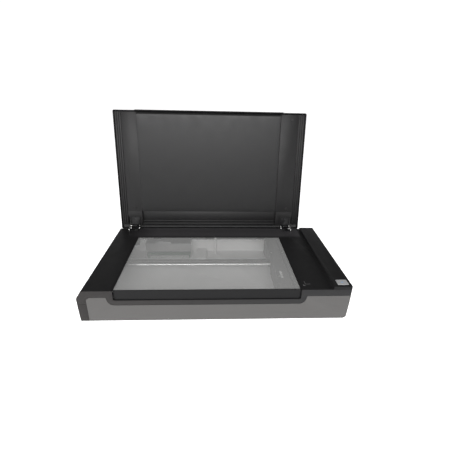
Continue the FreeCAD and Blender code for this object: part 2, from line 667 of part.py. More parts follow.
def make_lid_shell():
    radius, edge = cell.lid_corner_radius, cell.lid_edge_radius
    ahead = prism("lid_front_form", "XZ", [
        (lid_left, rim, 0), (lid_right, rim, 0), (lid_right, lid_top, edge),
        (lid_left, lid_top, edge)], lid_front, lid_rear)
    plan = prism("lid_plan_form", "XY", [
        (lid_left, lid_front, radius), (lid_right, lid_front, radius),
        (lid_right, lid_rear, radius), (lid_left, lid_rear, radius)], rim, lid_top)
    wall = cell.lid_wall
    hollow = prism("lid_hollow", "XY", [
        (lid_left + wall, lid_front + wall, radius - wall),
        (lid_right - wall, lid_front + wall, radius - wall),
        (lid_right - wall, lid_rear - wall, radius - wall),
        (lid_left + wall, lid_rear - wall, radius - wall)], rim - 1, lid_inside)
    lip = prism("lid_lip", "XZ", [
        (recess_left + cell.lip_end_gap, rim - cell.lip_drop, 7),
        (recess_right - cell.lip_end_gap, rim - cell.lip_drop, 3),
        (recess_right - cell.lip_end_gap, rim + 5, 0),
        (recess_left + cell.lip_end_gap, rim + 5, 0)],
        lid_front, lid_front + cell.lip_thickness)
    ribs = [box(f"lid_rib_{i}", (mat_left, mat_right), (lid_rear - at - cell.rib_thickness,
                                                        lid_rear - at), (rim + 4, lid_inside + 0.5))
            for i, at in enumerate((cell.rib_first, cell.rib_second))]
    notches = [box(f"lid_slot_{side}_{name}", span(*HINGES[side], at, wide + cell.lid_slot_gap * 2),
                   (lid_rear - wall - 1, lid_rear + 1), (rim - 1, axis_z + cell.arm_end_radius + 1))
               for side in HINGES
               for name, at, wide in (("lug", cell.lug_offset, cell.lug_width),
                                      ("arm", -arm_middle, cell.arm_thickness))]
    tray = cut("lid_tray", common("lid_form", ahead, plan), hollow, *notches)
    open_lid("lid_shell", join("lid_shell_body", tray, lip, *ribs))


def liner_steps():
    """Where the liner's face changes depth across the lid: place from the left edge, depth."""
    width, outer = lid_right - lid_left, cell.lid_wall + 0.2
    ridge, groove = cell.ridge_width, cell.groove_width
    starts = [cell.first_ridge + (ridge + groove) * i for i in range(3)]
    flap = starts[2] + ridge + groove
    west, east = [(outer, cell.groove_depth)], [(width - outer, None)]
    for start in starts:
        west += [(start, cell.ridge_depth), (start + ridge, cell.groove_depth)]
        east = [(width - start - ridge, cell.ridge_depth), (width - start, cell.groove_depth)] + east
    seat = cell.foam_thickness + cell.mat_thickness + 0.2
    middle = [(flap, cell.flap_depth), (mat_left - lid_left, seat),
              (mat_right - lid_left, cell.flap_depth),
              (width - flap, cell.groove_depth)]
    return west + middle + east


def make_lid_liner():
    """The inner moulding: stepped side ribs, flat side flaps and the seat of the backing mat."""
    steps = liner_steps()
    skin = cell.liner_skin
    lower, upper = [], []
    for i, ((start, depth), (end, _)) in enumerate(zip(steps, steps[1:])):
        before = float(steps[i - 1][1]) if i else float(depth)
        after = float(steps[i + 1][1]) if i + 2 < len(steps) else float(depth)
        lower += [(lid_left + start, rim + depth, 0), (lid_left + end, rim + depth, 0)]
        # The wall between two depths stands on the deeper side, so each face keeps its skin.
        first = start + skin if before > float(depth) else start
        last = end - skin if after > float(depth) else end
        first = start - skin if i and before < float(depth) else first
        last = end + skin if after < float(depth) else last
        upper += [(lid_left + first, rim + depth + skin, 0), (lid_left + last, rim + depth + skin, 0)]
    panel = prism("liner_panel", "XZ", lower + upper[::-1],
                  lid_front + cell.liner_front_margin, lid_rear - cell.liner_rear)
    seam_y, low = lid_rear - cell.liner_seam, rim - 1
    clear = [box("liner_gap", (mat_left, mat_right), (seam_y, lid_rear), (low, lid_inside))]
    half = cell.hinge_notch_width / 2
    for side, (middle, _) in HINGES.items():
        clear.append(box(f"liner_notch_{side}", (middle - half, middle + half),
                         (lid_rear - cell.hinge_notch_depth, lid_rear), (low, lid_inside)))
    line = (seam_y - cell.seam_line / 2, seam_y + cell.seam_line / 2)
    depth = (low, rim + cell.flap_depth + cell.seam_line / 2)
    for side, x in (("left", (lid_left, mat_left - cell.liner_skin)),
                    ("right", (mat_right + cell.liner_skin, lid_right))):
        clear.append(box(f"liner_seam_{side}", x, line, depth))
    open_lid("lid_liner", cut("liner_body", panel, *clear))


def make_lid_insides():
    seat = rim + cell.mat_thickness + 0.2
    mat_x = (mat_left + 0.4, mat_right - cell.mat_gap)
    mat_y = (lid_front + cell.mat_front_margin, lid_rear - cell.mat_rear - 0.5)
    foam = box("foam_sheet", mat_x, mat_y, (seat, seat + cell.foam_thickness))
    open_lid("backing_foam", group("foam_piece", foam))
    mat = box("mat_sheet", mat_x, mat_y, (rim + 0.2, seat))
    open_lid("backing_mat", group("mat_piece", mat))
    depth = rim + cell.rear_panel_depth
    seam_y = lid_rear - cell.liner_seam
    panel = box("rear_panel", (mat_left, mat_right),
                (seam_y + 0.3, lid_rear - cell.rear_panel_start),
                (depth, depth + cell.liner_skin))
    open_lid("lid_rear_panel", group("rear_panel_piece", panel))
    pads = []
    for i, x in enumerate((lid_left + 50, lid_right - 46)):
        for j, y in enumerate((lid_front + 20, seam_y - 12)):
            pads.append(cylinder(f"bumper_{i}{j}", "Z", (x, y), as_size(4), rim,
                                 rim + cell.flap_depth))
    open_lid("lid_bumpers", group("bumper_set", *pads))
    screws = []
    for side, (middle, _) in HINGES.items():
        for i, (x, y) in enumerate(((middle - 9, axis_y - 38), (middle + 9, axis_y - 38),
                                    (middle, axis_y - 26))):
            low = lid_inside - cell.leaf_thickness
            screws.append(cylinder(f"leaf_screw_{side}{i}", "Z", (x, y), cell.screw_head_radius,
                                   low - cell.screw_head, low))
    open_lid("lid_screws", group("lid_screw_set", *screws))


# ---------------------------------------------------------------- guide rod and belt drive

def make_rod():
    keep("guide_rod", cylinder("rod_bar", "X", (rod_y, rod_z), cell.rod_radius,
                               rod_left, rod_right))
    blocks = []
    for i, x in enumerate((rod_left + 1, rod_right - 1 - cell.mount_length)):
        half = cell.mount_width / 2
        block = box(f"mount_block_{i}", (x, x + cell.mount_length), (rod_y - half, rod_y + half),
                    (floor, rod_z + cell.rod_radius + 2.5))
        hole = cylinder(f"mount_bore_{i}", "X", (rod_y, rod_z), cell.rod_radius + 0.02,
                        x - 1, x + cell.mount_length + 1)
        blocks.append(cut(f"rod_mount_{i}", block, hole))
    keep("rod_mounts", group("rod_mount_set", *blocks))
    half = cell.rail_width / 2
    keep("slide_rail", box("front_rail", (rod_left, rod_right),
                           (rail_y - half, rail_y + half),
                           (floor, floor + cell.rail_height)))


def racetrack(name, radius, low, high):
    """The outline that a belt follows round both pulleys, at one distance from their axes."""
    west, east = idler_x - radius, motor_x + radius
    south, north = pulley_y - radius, pulley_y + radius
    corner = radius - 0.01
    return prism(name, "XY", [(west, south, corner), (east, south, corner),
                              (east, north, corner), (west, north, corner)], low, high)


def make_belt():
    outer = racetrack("belt_outer", belt_outer, belt_low, belt_high)
    inner = racetrack("belt_inner", belt_inner, belt_low - 1, belt_high + 1)
    keep("timing_belt", cut("belt_body", outer, inner))


def pulley_solid(name, x, bore, low, high):
    """A belt wheel with a flange on each side of the belt."""
    spot = (x, pulley_y)
    hub = cylinder(name + "_hub", "Z", spot, cell.pulley_radius, low, high)
    flanges = [cylinder(f"{name}_flange_{i}", "Z", spot, cell.flange_radius, z, z + 1)
               for i, z in enumerate((low, high - 1))]
    solid = join(name + "_solid", hub, *flanges)
    if bore is None:
        return solid
    return cut(name + "_body", solid, cylinder(name + "_bore", "Z", spot, bore, low - 1, high + 1))


def make_motor():
    """The stepper motor hangs under its bracket, with the belt pulley on its shaft."""
    half = cell.motor_size / 2
    top = belt_low - 9
    x, spot = motor_x, (motor_x, pulley_y)
    can = prism("motor_can", "XY", [
        (x - half, pulley_y - half, cell.motor_round), (x + half, pulley_y - half, cell.motor_round),
        (x + half, pulley_y + half, cell.motor_round),
        (x - half, pulley_y + half, cell.motor_round)], top - cell.motor_height, top)
    boss = cylinder("motor_boss", "Z", spot, as_size(11), top - 1, top + 2)
    bore = cylinder("motor_bore", "Z", spot, cell.shaft_radius + cell.running_gap, top - 12, top + 3)
    keep("stepper_motor", cut("motor_body", join("motor_solid", can, boss), bore))
    plate = box("bracket_plate", (x - half - 5, x + half + 5), (pulley_y - half - 5,
                                                              pulley_y + half + 5), (top, top + 2))
    legs = [box(f"bracket_leg_{i}", (x - half, x + half), (y, y + 3), (floor, top + 1))
            for i, y in enumerate((pulley_y - half - 5, pulley_y + half + 2))]
    hole = cylinder("bracket_hole", "Z", spot, as_size(11.1), top - 1, top + 3)
    keep("motor_bracket", cut("motor_bracket_body", join("bracket_solid", plate, *legs), hole))
    wheel = pulley_solid("drive_wheel", x, None, belt_low - 1.4, belt_high + 1.4)
    shaft = cylinder("motor_shaft", "Z", spot, cell.shaft_radius, top - 11.5, belt_high + 2)
    keep("motor_pulley", join("motor_pulley_body", wheel, shaft))


def make_idler():
    spot = (idler_x, pulley_y)
    top = belt_low - 3
    block = box("idler_block", (idler_x - 10, idler_x + 9), (pulley_y - 10,
                                                                       pulley_y + 10), (floor, top))
    hole = cylinder("idler_hole", "Z", spot, cell.axle_radius + 0.02, top - 10, top + 1)
    keep("idler_bracket", cut("idler_bracket_body", block, hole))
    keep("idler_axle", cylinder("idler_pin", "Z", spot, cell.axle_radius, top - 9.9, belt_high + 3))
    keep("idler_pulley", pulley_solid("idler_wheel", idler_x,
                                      cell.axle_radius + cell.running_gap,
                                      belt_low - 1.4, belt_high + 1.4))
    west = idler_x - 10
    blade = box("spring_blade", (west - 0.6, west), (pulley_y - 8, pulley_y + 8),
                (floor, top - 8))
    foot = box("spring_foot", (west - 7, west), (pulley_y - 8, pulley_y + 8), (floor, floor + 0.6))
    keep("tension_spring", join("tension_spring_body", blade, foot))


# ---------------------------------------------------------------- carriage

def make_carriage_housing():
    wall = cell.carriage_wall
    low, high = cell.carriage_bottom, cell.carriage_top - cell.cover_thickness
    south, north = carriage_front, carriage_rear
    block = box("carriage_block", (carriage_left, carriage_right), (south, north), (low, high))
    tunnel = box("rod_tunnel", (carriage_left - 1, carriage_right + 1),
                 (-cell.tunnel_front, cell.tunnel_rear), (low - 1, cell.tunnel_top))
    inside = box("carriage_inside", (carriage_left + wall, carriage_right - wall),
                 (south + wall, north - wall), (low + wall, high + 1))
    keeps = box("tunnel_walls", (carriage_left, carriage_right),
                (-cell.tunnel_front - wall, cell.tunnel_rear + wall), (low, cell.tunnel_top + wall))
    tray = cut("carriage_tray", block, cut("carriage_room", inside, keeps), tunnel)
    blocks, bores = [], []
    for i, x in enumerate(bush_places()):
        blocks.append(box(f"bearing_block_{i}", x, (-cell.tunnel_front, as_size(4.5)),
                          (rod_z - 10, cell.tunnel_top + 1)))
        bores.append(cylinder(f"bearing_bore_{i}", "X", (rod_y, rod_z), cell.bush_radius + 0.02,
                              x[0] - 1, x[1] + 1))
    prongs = [box(f"lock_prong_{i}", (x - 1.5, x + 1.5),
                  (lock_y + cell.lock_travel - 4, lock_y + cell.lock_travel + 6),
                  (low - 8, low + 1)) for i, x in enumerate((carriage_x - 5.5,
                                                             carriage_x + 5.5))]
    keep("carriage_housing", cut("carriage_housing_body", join("carriage_solid", tray, *blocks,
                                                               *prongs), *bores))


def bush_places():
    return [(carriage_left + 1, carriage_left + 1 + cell.bush_length),
            (carriage_right - 1 - cell.bush_length, carriage_right - 1)]


def scan_line():
    """The stretch along Y that the lamps, the slot and the long mirrors share."""
    return carriage_front + cell.carriage_wall + 1, window_rear - 2


def make_carriage_fittings():
    top = cell.carriage_top
    south, north = carriage_front, carriage_rear
    x = carriage_x
    plate = box("cover_plate", (carriage_left, carriage_right), (south, north),
                (top - cell.cover_thickness, top))
    slot = box("scan_slot_cut", (x - cell.scan_slot / 2, x + cell.scan_slot / 2),
               scan_line(), (top - 5, top + 1))
    keep("carriage_cover", cut("carriage_cover_body", plate, slot))
    bushes = []
    for i, stretch in enumerate(bush_places()):
        ring = cylinder(f"bush_ring_{i}", "X", (rod_y, rod_z), cell.bush_radius, *stretch)
        bore = cylinder(f"bush_bore_{i}", "X", (rod_y, rod_z), cell.rod_radius + cell.running_gap,
                        stretch[0] - 1, stretch[1] + 1)
        bushes.append(cut(f"bush_{i}", ring, bore))
    keep("rod_bushings", group("bushing_set", *bushes))
    near = pulley_y - (belt_inner + belt_outer) / 2
    clamp = box("clamp_block", (x - 11, x + 11), (near - 3.4, near + 3.4),
                (belt_low - 3, cell.tunnel_top))
    groove = box("clamp_groove", (x - 12, x + 12),
                 (near - cell.belt_thickness / 2 - 0.4, near + cell.belt_thickness / 2 + 0.4),
                 (belt_low - 4, belt_high + 0.6))
    keep("belt_clamp", cut("belt_clamp_body", clamp, groove))
    rail_top = floor + cell.rail_height
    keep("front_slider", box("slider_foot", (x - 15, x + 15),
                             (rail_y - 4, rail_y + 4),
                             (rail_top + 0.4, cell.carriage_bottom)))
    screws = [cylinder(f"cover_screw_{i}{j}", "Z", (a, b), cell.screw_head_radius, top,
                       top + cell.screw_head)
              for i, a in enumerate((x + 2 + cell.screw_head_radius * 0.7, carriage_left + 6))
              for j, b in enumerate((window_front + 70, window_rear - 90))]
    keep("carriage_screws", group("carriage_screw_set", *screws))


def slanted_mirror(name, x, z, half, lean, y):
    """A glass strip along Y, leaning 45 degrees; lean is +1 or -1."""
    t = cell.mirror_thickness * 0.7071
    if lean > 0:
        corners = [(x - half, z - half, 0), (x - half + t, z - half - t, 0),
                   (x + half + t, z + half - t, 0), (x + half, z + half, 0)]
    else:
        corners = [(x + half, z - half, 0), (x - half, z + half, 0),
                   (x - half - t, z + half - t, 0), (x + half - t, z - half - t, 0)]
    return prism(name, "XZ", corners, *y)


def make_optics():
    x, y = carriage_x, scan_line()
    above = cell.tunnel_top + cell.carriage_wall
    lamps = [cylinder(f"lamp_{i}", "Y", (x + shift, above + 9), cell.lamp_radius, *y)
             for i, shift in enumerate((-cell.lamp_spread, cell.lamp_spread))]
    keep("lamp_tubes", group("lamp_set", *lamps))
    first = slanted_mirror("mirror_first", x, above + 6, cell.mirror_half, 1, y)
    second = slanted_mirror("mirror_second", carriage_left + 9, above + 6, cell.mirror_half, -1, y)
    near = (-cell.tunnel_front - 60, -cell.tunnel_front - 10)
    lens_z = deck - cell.lens_drop
    third = slanted_mirror("mirror_third", carriage_left + 9, lens_z, cell.mirror_half + 1.5, 1,
                           near)
    keep("scan_mirrors", group("mirror_set", first, second, third))
    lens_y = (window_front + window_rear) / 2 + 1
    barrel = cylinder("lens_barrel_bar", "X", (lens_y, lens_z), cell.lens_radius,
                      x - 4, x + 14)
    foot = box("lens_foot", (x - 2, x + 12), (lens_y - 6, lens_y + 6),
               (cell.carriage_bottom + cell.carriage_wall, lens_z - 6))
    keep("lens_barrel", join("lens_body", barrel, foot))
    keep("sensor_board", box("sensor_pcb", (x + 24, x + 26), (lens_y - 36, lens_y + 14),
                             (cell.carriage_bottom + cell.carriage_wall, lens_z + 14)))


# ---------------------------------------------------------------- electronics and lock

board_x = (left + cell.board_margin, left + cell.board_margin + cell.board_width)
board_y = (rear - cell.board_rear_margin - cell.board_depth, rear - cell.board_rear_margin)
pcb_top = floor + cell.board_height + cell.board_thickness


def socket_x(x, width):
    return x - width / 2 - cell.fit_gap, x + width / 2 + cell.fit_gap


def socket_z(height):
    return pcb_top - cell.fit_gap, pcb_top + height + cell.fit_gap


def make_electronics():
    plate = box("main_pcb", board_x, board_y, (pcb_top - cell.board_thickness, pcb_top))
    posts = [cylinder(f"standoff_{i}{j}", "Z", (x, y), as_size(3), floor,
                      pcb_top - cell.board_thickness)
             for i, x in enumerate((board_x[0] + 5, board_x[1] - 5))
             for j, y in enumerate((board_y[0] + 5, board_y[1] - 5))]
    chips = [box(f"chip_{i}", (board_x[0] + x, board_x[0] + x + size),
                 (board_y[0] + 8, board_y[0] + 8 + size), (pcb_top - 0.2, pcb_top + 1.4))
             for i, (x, size) in enumerate(((14, 14), (62, 20), (112, 12)))]
    keep("main_board", join("main_board_body", plate, *posts, *chips))
    skin = cell.shield_skin
    high, low = deck - cell.shield_drop, pcb_top + 13
    step = (board_x[0] + cell.shield_step, board_x[0] + cell.shield_step + cell.shield_step_width)
    y = (board_y[0] - 1, board_y[1] + 1)
    outer = box("shield_outer", board_x, y, (low, high))
    raised = box("shield_raised", step, y, (low, high + cell.shield_rise))
    inner = box("shield_inner", (board_x[0] + skin, board_x[1] - skin), (y[0] + skin, y[1] - skin),
                (low - 1, high - skin))
    room = box("shield_room", (step[0] + skin, step[1] - skin), (y[0] + skin, y[1] - skin),
               (low - 1, high + cell.shield_rise - skin))
    legs = [box(f"shield_leg_{i}", (x, x + skin), (y[0] + 12, y[0] + 26), (floor, low + 1))
            for i, x in enumerate((board_x[0] - skin, board_x[1]))]
    cover = cut("shield_cover", join("shield_form", outer, raised), inner, room)
    ears = [box(f"shield_ear_{i}", (x, x + 1.2), (y[0] + 12, y[0] + 26), (low, low + 1.5))
            for i, x in enumerate((board_x[0] - skin, board_x[1] - skin / 2))]
    keep("board_shield", join("board_shield_body", cover, *legs, *ears))
    make_sockets()


def make_sockets():
    x = socket_x(usb_x, cell.usb_width - 0.4)
    z = (pcb_top, pcb_top + cell.usb_height)
    y = (rear - 16, rear - 0.6)
    shell = box("usb_shell", x, y, z)
    room = box("usb_room", (x[0] + 1, x[1] - 1), (y[0] + 2, rear + 1), (z[0] + 1, z[1] - 1))
    keep("usb_socket", cut("usb_body", shell, room))
    x = socket_x(jack_x, cell.jack_size - 0.4)
    z = (pcb_top, pcb_top + cell.jack_size)
    middle = (jack_x, pcb_top + cell.jack_size / 2)
    block = box("jack_block", x, y, z)
    bore = cylinder("jack_bore", "Y", middle, cell.jack_radius, y[0] + 3, rear + 1)
    pin = cylinder("jack_pin", "Y", middle, as_size(1), y[0] + 2, rear - 3)
    keep("power_socket", join("jack_body", cut("jack_shell", block, bore), pin))


def make_flat_cable():
    """The flat cable lies on the floor from its clamp and turns up under the parked carriage."""
    thick, near = cell.cable_thickness, rear - 103
    west = board_x[1] + cell.clamp_margin
    start, end, low, high = west + 26, carriage_left + 5, floor, floor + 18
    tail = end - 20
    outer = prism("cable_outer", "XZ", [
        (start, low, 0), (end, low, 8.9), (end, high, 8.9), (tail, high, 0),
        (tail, high - thick, 0), (end - thick, high - thick, 8.5),
        (end - thick, low + thick, 8.5), (start, low + thick, 0)], near, near + cell.cable_width)
    keep("flat_cable", outer)
    block = box("clamp_base", (west, west + cell.clamp_width), (near + 22, board_y[1]),
                (floor, floor + 14))
    neck = box("clamp_neck", (west + 16, west + 25), (near, near + 23), (floor, floor + 8))
    keep("cable_clamp", join("cable_clamp_body", block, neck))
    screws = [cylinder(f"clamp_screw_{i}", "Z", (west + 16, y_at), cell.screw_head_radius,
                       floor + 14, floor + 14 + cell.screw_head)
              for i, y_at in enumerate((near + 32, near + 62))]
    keep("clamp_screws", group("clamp_screw_set", *screws))


def make_transport_lock():
    """A slide in the floor with a peg that goes between two prongs under the parked carriage."""
    x, y = carriage_x, lock_y
    plate = box("lock_plate", (x - 9, x + 9), (y - 12, y + 12), (floor + 0.3, floor + 2.3))
    peg = cylinder("lock_peg", "Z", (x, y), cell.lock_radius, floor + 1, cell.carriage_bottom - 2)
    thumb = box("lock_thumb", (x - 3.4, x + 3.4), (y - 5, y + 5), (base + 0.4, floor + 1))
    keep("transport_lock", join("transport_lock_body", plate, peg, thumb))


# ---------------------------------------------------------------- whole machine

def build():
    make_lower_case()
    make_left_end_cap()
    make_upper_case()
    make_front_trim_strip()
    make_glass()
    make_feet()
    make_case_screws()
    make_console()
    make_button()
    for side in HINGES:
        make_hinge_base(side)
        make_hinge_leaf(side)
    make_lid_shell()
    make_lid_liner()
    make_lid_insides()
    make_rod()
    make_belt()
    make_motor()
    make_idler()
    make_carriage_housing()
    make_carriage_fittings()
    make_optics()
    make_electronics()
    make_flat_cable()
    make_transport_lock()


def check():
    for item in doc.Objects:
        if "Invalid" in item.State or "Error" in item.State:
            raise RuntimeError(f"{item.Label} failed: {item.State}")
    for name, item in PIECES.items():
        if item.Shape.isNull() or not item.Shape.isValid() or not item.Shape.Solids:
            raise RuntimeError(f"{name} has no valid solid")


def write():
    os.makedirs("parts", exist_ok=True)
    for name, item in PIECES.items():
        item.Shape.exportStep(f"parts/{name}.step")
        size = item.Shape.BoundBox
        print(f"{name}: {len(item.Shape.Solids)} solid(s), volume {item.Shape.Volume:.0f} mm3, "
              f"z {size.ZMin:.1f} to {size.ZMax:.1f}")


build()
doc.recompute()
check()
write()
print(len(PIECES), "pieces written")
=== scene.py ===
# %% [markdown]
# # A large flatbed scanner, dressed for the studio
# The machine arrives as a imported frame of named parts, all in metres and in one shared space.
# This lesson gives every part its finish, rounds the edges that a mould or a press would round,
# and adds the small things that a bare frame lacks: screw slots, belt teeth, seams and marks.

# %% Load the frame
import bmesh
import bpy
import json
import math
from mathutils import Matrix, Vector

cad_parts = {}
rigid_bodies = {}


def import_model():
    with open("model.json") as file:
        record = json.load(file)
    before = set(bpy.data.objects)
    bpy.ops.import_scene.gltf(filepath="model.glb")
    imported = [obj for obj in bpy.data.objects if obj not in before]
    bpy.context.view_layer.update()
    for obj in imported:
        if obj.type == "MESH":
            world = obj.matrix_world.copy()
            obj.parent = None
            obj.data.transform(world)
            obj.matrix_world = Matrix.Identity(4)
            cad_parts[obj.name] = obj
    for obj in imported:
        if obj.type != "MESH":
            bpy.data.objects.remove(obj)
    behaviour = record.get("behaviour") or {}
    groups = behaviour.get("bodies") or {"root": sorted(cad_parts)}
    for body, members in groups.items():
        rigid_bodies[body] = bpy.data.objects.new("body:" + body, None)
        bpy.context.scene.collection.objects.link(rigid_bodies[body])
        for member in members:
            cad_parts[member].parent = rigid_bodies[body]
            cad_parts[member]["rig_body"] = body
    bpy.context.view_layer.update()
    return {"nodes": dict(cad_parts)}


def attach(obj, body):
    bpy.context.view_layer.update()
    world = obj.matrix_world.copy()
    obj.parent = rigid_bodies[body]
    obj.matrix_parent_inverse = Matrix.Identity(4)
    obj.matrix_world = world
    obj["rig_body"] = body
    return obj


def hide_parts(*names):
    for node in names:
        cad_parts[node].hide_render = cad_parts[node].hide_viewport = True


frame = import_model()
MM = 0.001

# %% [markdown]
# ## Camera
# The machine is seen from the front and a little above, through a fairly wide lens of 25 mm on a
# 36 mm sensor. A Track To constraint could aim the camera, but it would level it, and the view has
# a small roll, so the three turns are written out and multiplied.

# %% Place the camera
eye = Vector((-8.55, -839.3, 552.8)) * MM
yaw, pitch, roll = -3.1206, -24.1986, -1.4011


def turn(degrees, axis):
    return Matrix.Rotation(math.radians(degrees), 3, axis)


lens = bpy.data.cameras.new("studio_lens")
lens.lens = 25.07
lens.sensor_width = 36
lens.clip_start = 0.01
camera = bpy.data.objects.new("studio_camera", lens)
aim = turn(yaw, "Z") @ turn(pitch, "X") @ turn(roll, "Y") @ turn(90, "X")
camera.matrix_world = Matrix.Translation(eye) @ aim.to_4x4()
bpy.context.scene.collection.objects.link(camera)
bpy.context.scene.camera = camera
print("camera at", [round(v, 3) for v in camera.location])

# %% [markdown]
# ## The room
# Product pictures are often taken in a white sweep: the floor and the low walls are white, and the
# ceiling is dark, so that black plastic stays black instead of mirroring a white sky. A colour ramp
# on the height of the view direction makes that room out of the world alone. Walls could be built
# as meshes, but they would show in a view from the side.

# %% Build the white sweep
scene = bpy.context.scene
scene.view_settings.view_transform = "Standard"
world = bpy.data.worlds.new("white_sweep")
scene.world = world
world.use_nodes = True
sky = world.node_tree
sky.nodes.clear()
direction = sky.nodes.new("ShaderNodeTexCoord")
height = sky.nodes.new("ShaderNodeSeparateXYZ")
ramp = sky.nodes.new("ShaderNodeValToRGB")
room = sky.nodes.new("ShaderNodeBackground")
sky_out = sky.nodes.new("ShaderNodeOutputWorld")
white_until, dark_from = 0.27, 0.42
white, ceiling_tone = (1, 1, 1, 1), (0.05, 0.05, 0.052, 1)
for stop, position, tone in zip(ramp.color_ramp.elements, (white_until, dark_from),
                                (white, ceiling_tone)):
    stop.position = position
    stop.color = tone
room.inputs["Strength"].default_value = 1.06
sky.links.new(direction.outputs["Generated"], height.inputs[0])
sky.links.new(height.outputs["Z"], ramp.inputs["Fac"])
sky.links.new(ramp.outputs["Color"], room.inputs["Color"])
sky.links.new(room.outputs["Background"], sky_out.inputs["Surface"])
print("sweep is white up to", white_until, "and dark from", dark_from)

# %% [markdown]
# ## Lamps and floor
# Three soft lamps, one above, one in front and one at the left, draw the highlights; small lamps
# would draw hard spots. The floor is white paper that glows a little, so that it stays white up to
# the horizon and keeps only a faint shadow under the machine.

# %% Hang the lamps and lay the floor


def soft_lamp(name, place, target, width, depth, watts):
    """A rectangular softbox that faces its target."""
    data = bpy.data.lights.new(name, "AREA")
    data.shape = "RECTANGLE"
    data.size, data.size_y, data.energy = width, depth, watts
    lamp = bpy.data.objects.new(name, data)
    lamp.location = place
    lamp.rotation_euler = (Vector(target) - Vector(place)).to_track_quat("-Z", "Y").to_euler()
    scene.collection.objects.link(lamp)


soft_lamp("overhead_softbox", (-0.05, 0.05, 1.9), (-0.04, 0.0, 0.06), 1.3, 0.6, 6)
soft_lamp("front_softbox", (-0.2, -2.4, 1.4), (0, 0, 0.25), 2.4, 1.1, 85)
soft_lamp("left_softbox", (-2.4, -0.9, 0.8), (0.2, 0, 0.15), 1.2, 0.8, 14)

floor_mesh = bpy.data.meshes.new("studio_floor")
reach = 40.0
corners = [(-reach, -reach, 0), (reach, -reach, 0), (reach, reach, 0), (-reach, reach, 0)]
floor_mesh.from_pydata(corners, [], [(0, 1, 2, 3)])
studio_floor = bpy.data.objects.new("studio_floor", floor_mesh)
scene.collection.objects.link(studio_floor)
paper = bpy.data.materials.new("floor_paper")
paper.use_nodes = True
paper_shader = paper.node_tree.nodes["Principled BSDF"]
paper_shader.inputs["Base Color"].default_value = (0.93, 0.93, 0.93, 1)
paper_shader.inputs["Roughness"].default_value = 0.9
paper_shader.inputs["Emission Color"].default_value = (1, 1, 1, 1)
paper_shader.inputs["Emission Strength"].default_value = 0.9
floor_mesh.materials.append(paper)

# %% [markdown]
# ## Finishes
# Moulded plastic is never one flat colour. It has a fine spark-eroded grain that breaks up its
# gloss, and slow drifts of tone and shine where the melt flowed and hands have rubbed. One helper
# builds that recipe out of three noises in object space: a slow one for tone, a finer one for
# shine, and the grain. Image textures could do the same, but noises stay sharp at any distance and
# need no unwrapping.

# %% The plastic recipe


def shader_of(name):
    material = bpy.data.materials.new(name)
    material.use_nodes = True
    tree = material.node_tree
    return material, tree, tree.nodes["Principled BSDF"]


def noise(tree, scale, detail, stretch=None):
    """A noise in object space; stretch squeezes it along the axes, as for brushed metal."""
    where = tree.nodes.new("ShaderNodeTexCoord").outputs["Object"]
    if stretch:
        mapping = tree.nodes.new("ShaderNodeMapping")
        mapping.inputs["Scale"].default_value = stretch
        tree.links.new(where, mapping.inputs["Vector"])
        where = mapping.outputs["Vector"]
    node = tree.nodes.new("ShaderNodeTexNoise")
    node.inputs["Scale"].default_value = scale
    node.inputs["Detail"].default_value = detail
    tree.links.new(where, node.inputs["Vector"])
    return node.outputs["Fac"]


def spread(tree, factor, low, high):
    """Turns a noise into numbers or colours between low and high."""
    if isinstance(low, tuple):
        node = tree.nodes.new("ShaderNodeMix")
        node.data_type = "RGBA"
        node.inputs["A"].default_value = (*low, 1)
        node.inputs["B"].default_value = (*high, 1)
        tree.links.new(factor, node.inputs["Factor"])
        return node.outputs["Result"]
    node = tree.nodes.new("ShaderNodeMapRange")
    node.inputs["From Min"].default_value = 0.3
    node.inputs["From Max"].default_value = 0.7
    node.inputs["To Min"].default_value = low
    node.inputs["To Max"].default_value = high
    tree.links.new(factor, node.inputs["Value"])
    return node.outputs["Result"]


def grain(tree, shader, factor, depth, strength=1.0):
    bump = tree.nodes.new("ShaderNodeBump")
    bump.inputs["Strength"].default_value = strength
    bump.inputs["Distance"].default_value = depth
    tree.links.new(factor, bump.inputs["Height"])
    tree.links.new(bump.outputs["Normal"], shader.inputs["Normal"])


def scaled(colour, share):
    return tuple(channel * share for channel in colour)


grain_pitch, grain_depth = 0.0006, 0.00006


def moulded(name, colour, rough, pitch=grain_pitch, depth=grain_depth, drift=0.06, gloss=0.5):
    """Moulded plastic: grain of one pitch and depth in metres, with drifting tone and shine."""
    material, tree, shader = shader_of(name)
    slow = noise(tree, 9.0, 3.0)
    tint = spread(tree, slow, scaled(colour, 1 - drift), scaled(colour, 1 + drift))
    tree.links.new(tint, shader.inputs["Base Color"])
    patch = noise(tree, 35.0, 4.0)
    tree.links.new(spread(tree, patch, rough - 0.04, rough + 0.04), shader.inputs["Roughness"])
    shader.inputs["Specular IOR Level"].default_value = gloss
    grain(tree, shader, noise(tree, 1 / pitch, 1.0), depth)
    return material


print("usual grain in mm:", grain_pitch / MM, "apart,", grain_depth / MM, "deep")

# %% [markdown]
# ## The machine's plastics
# The deck, the lid and the ends are near-black charcoals, the front panel is a warm mid grey, and
# the button is painted silver. Rubber, foam and the green board use the same recipe with other
# numbers. Each colour is a linear value, so a charcoal is only a hundredth or two. One material
# could serve all and read its colour from each object, but separate ones are easier to adjust.

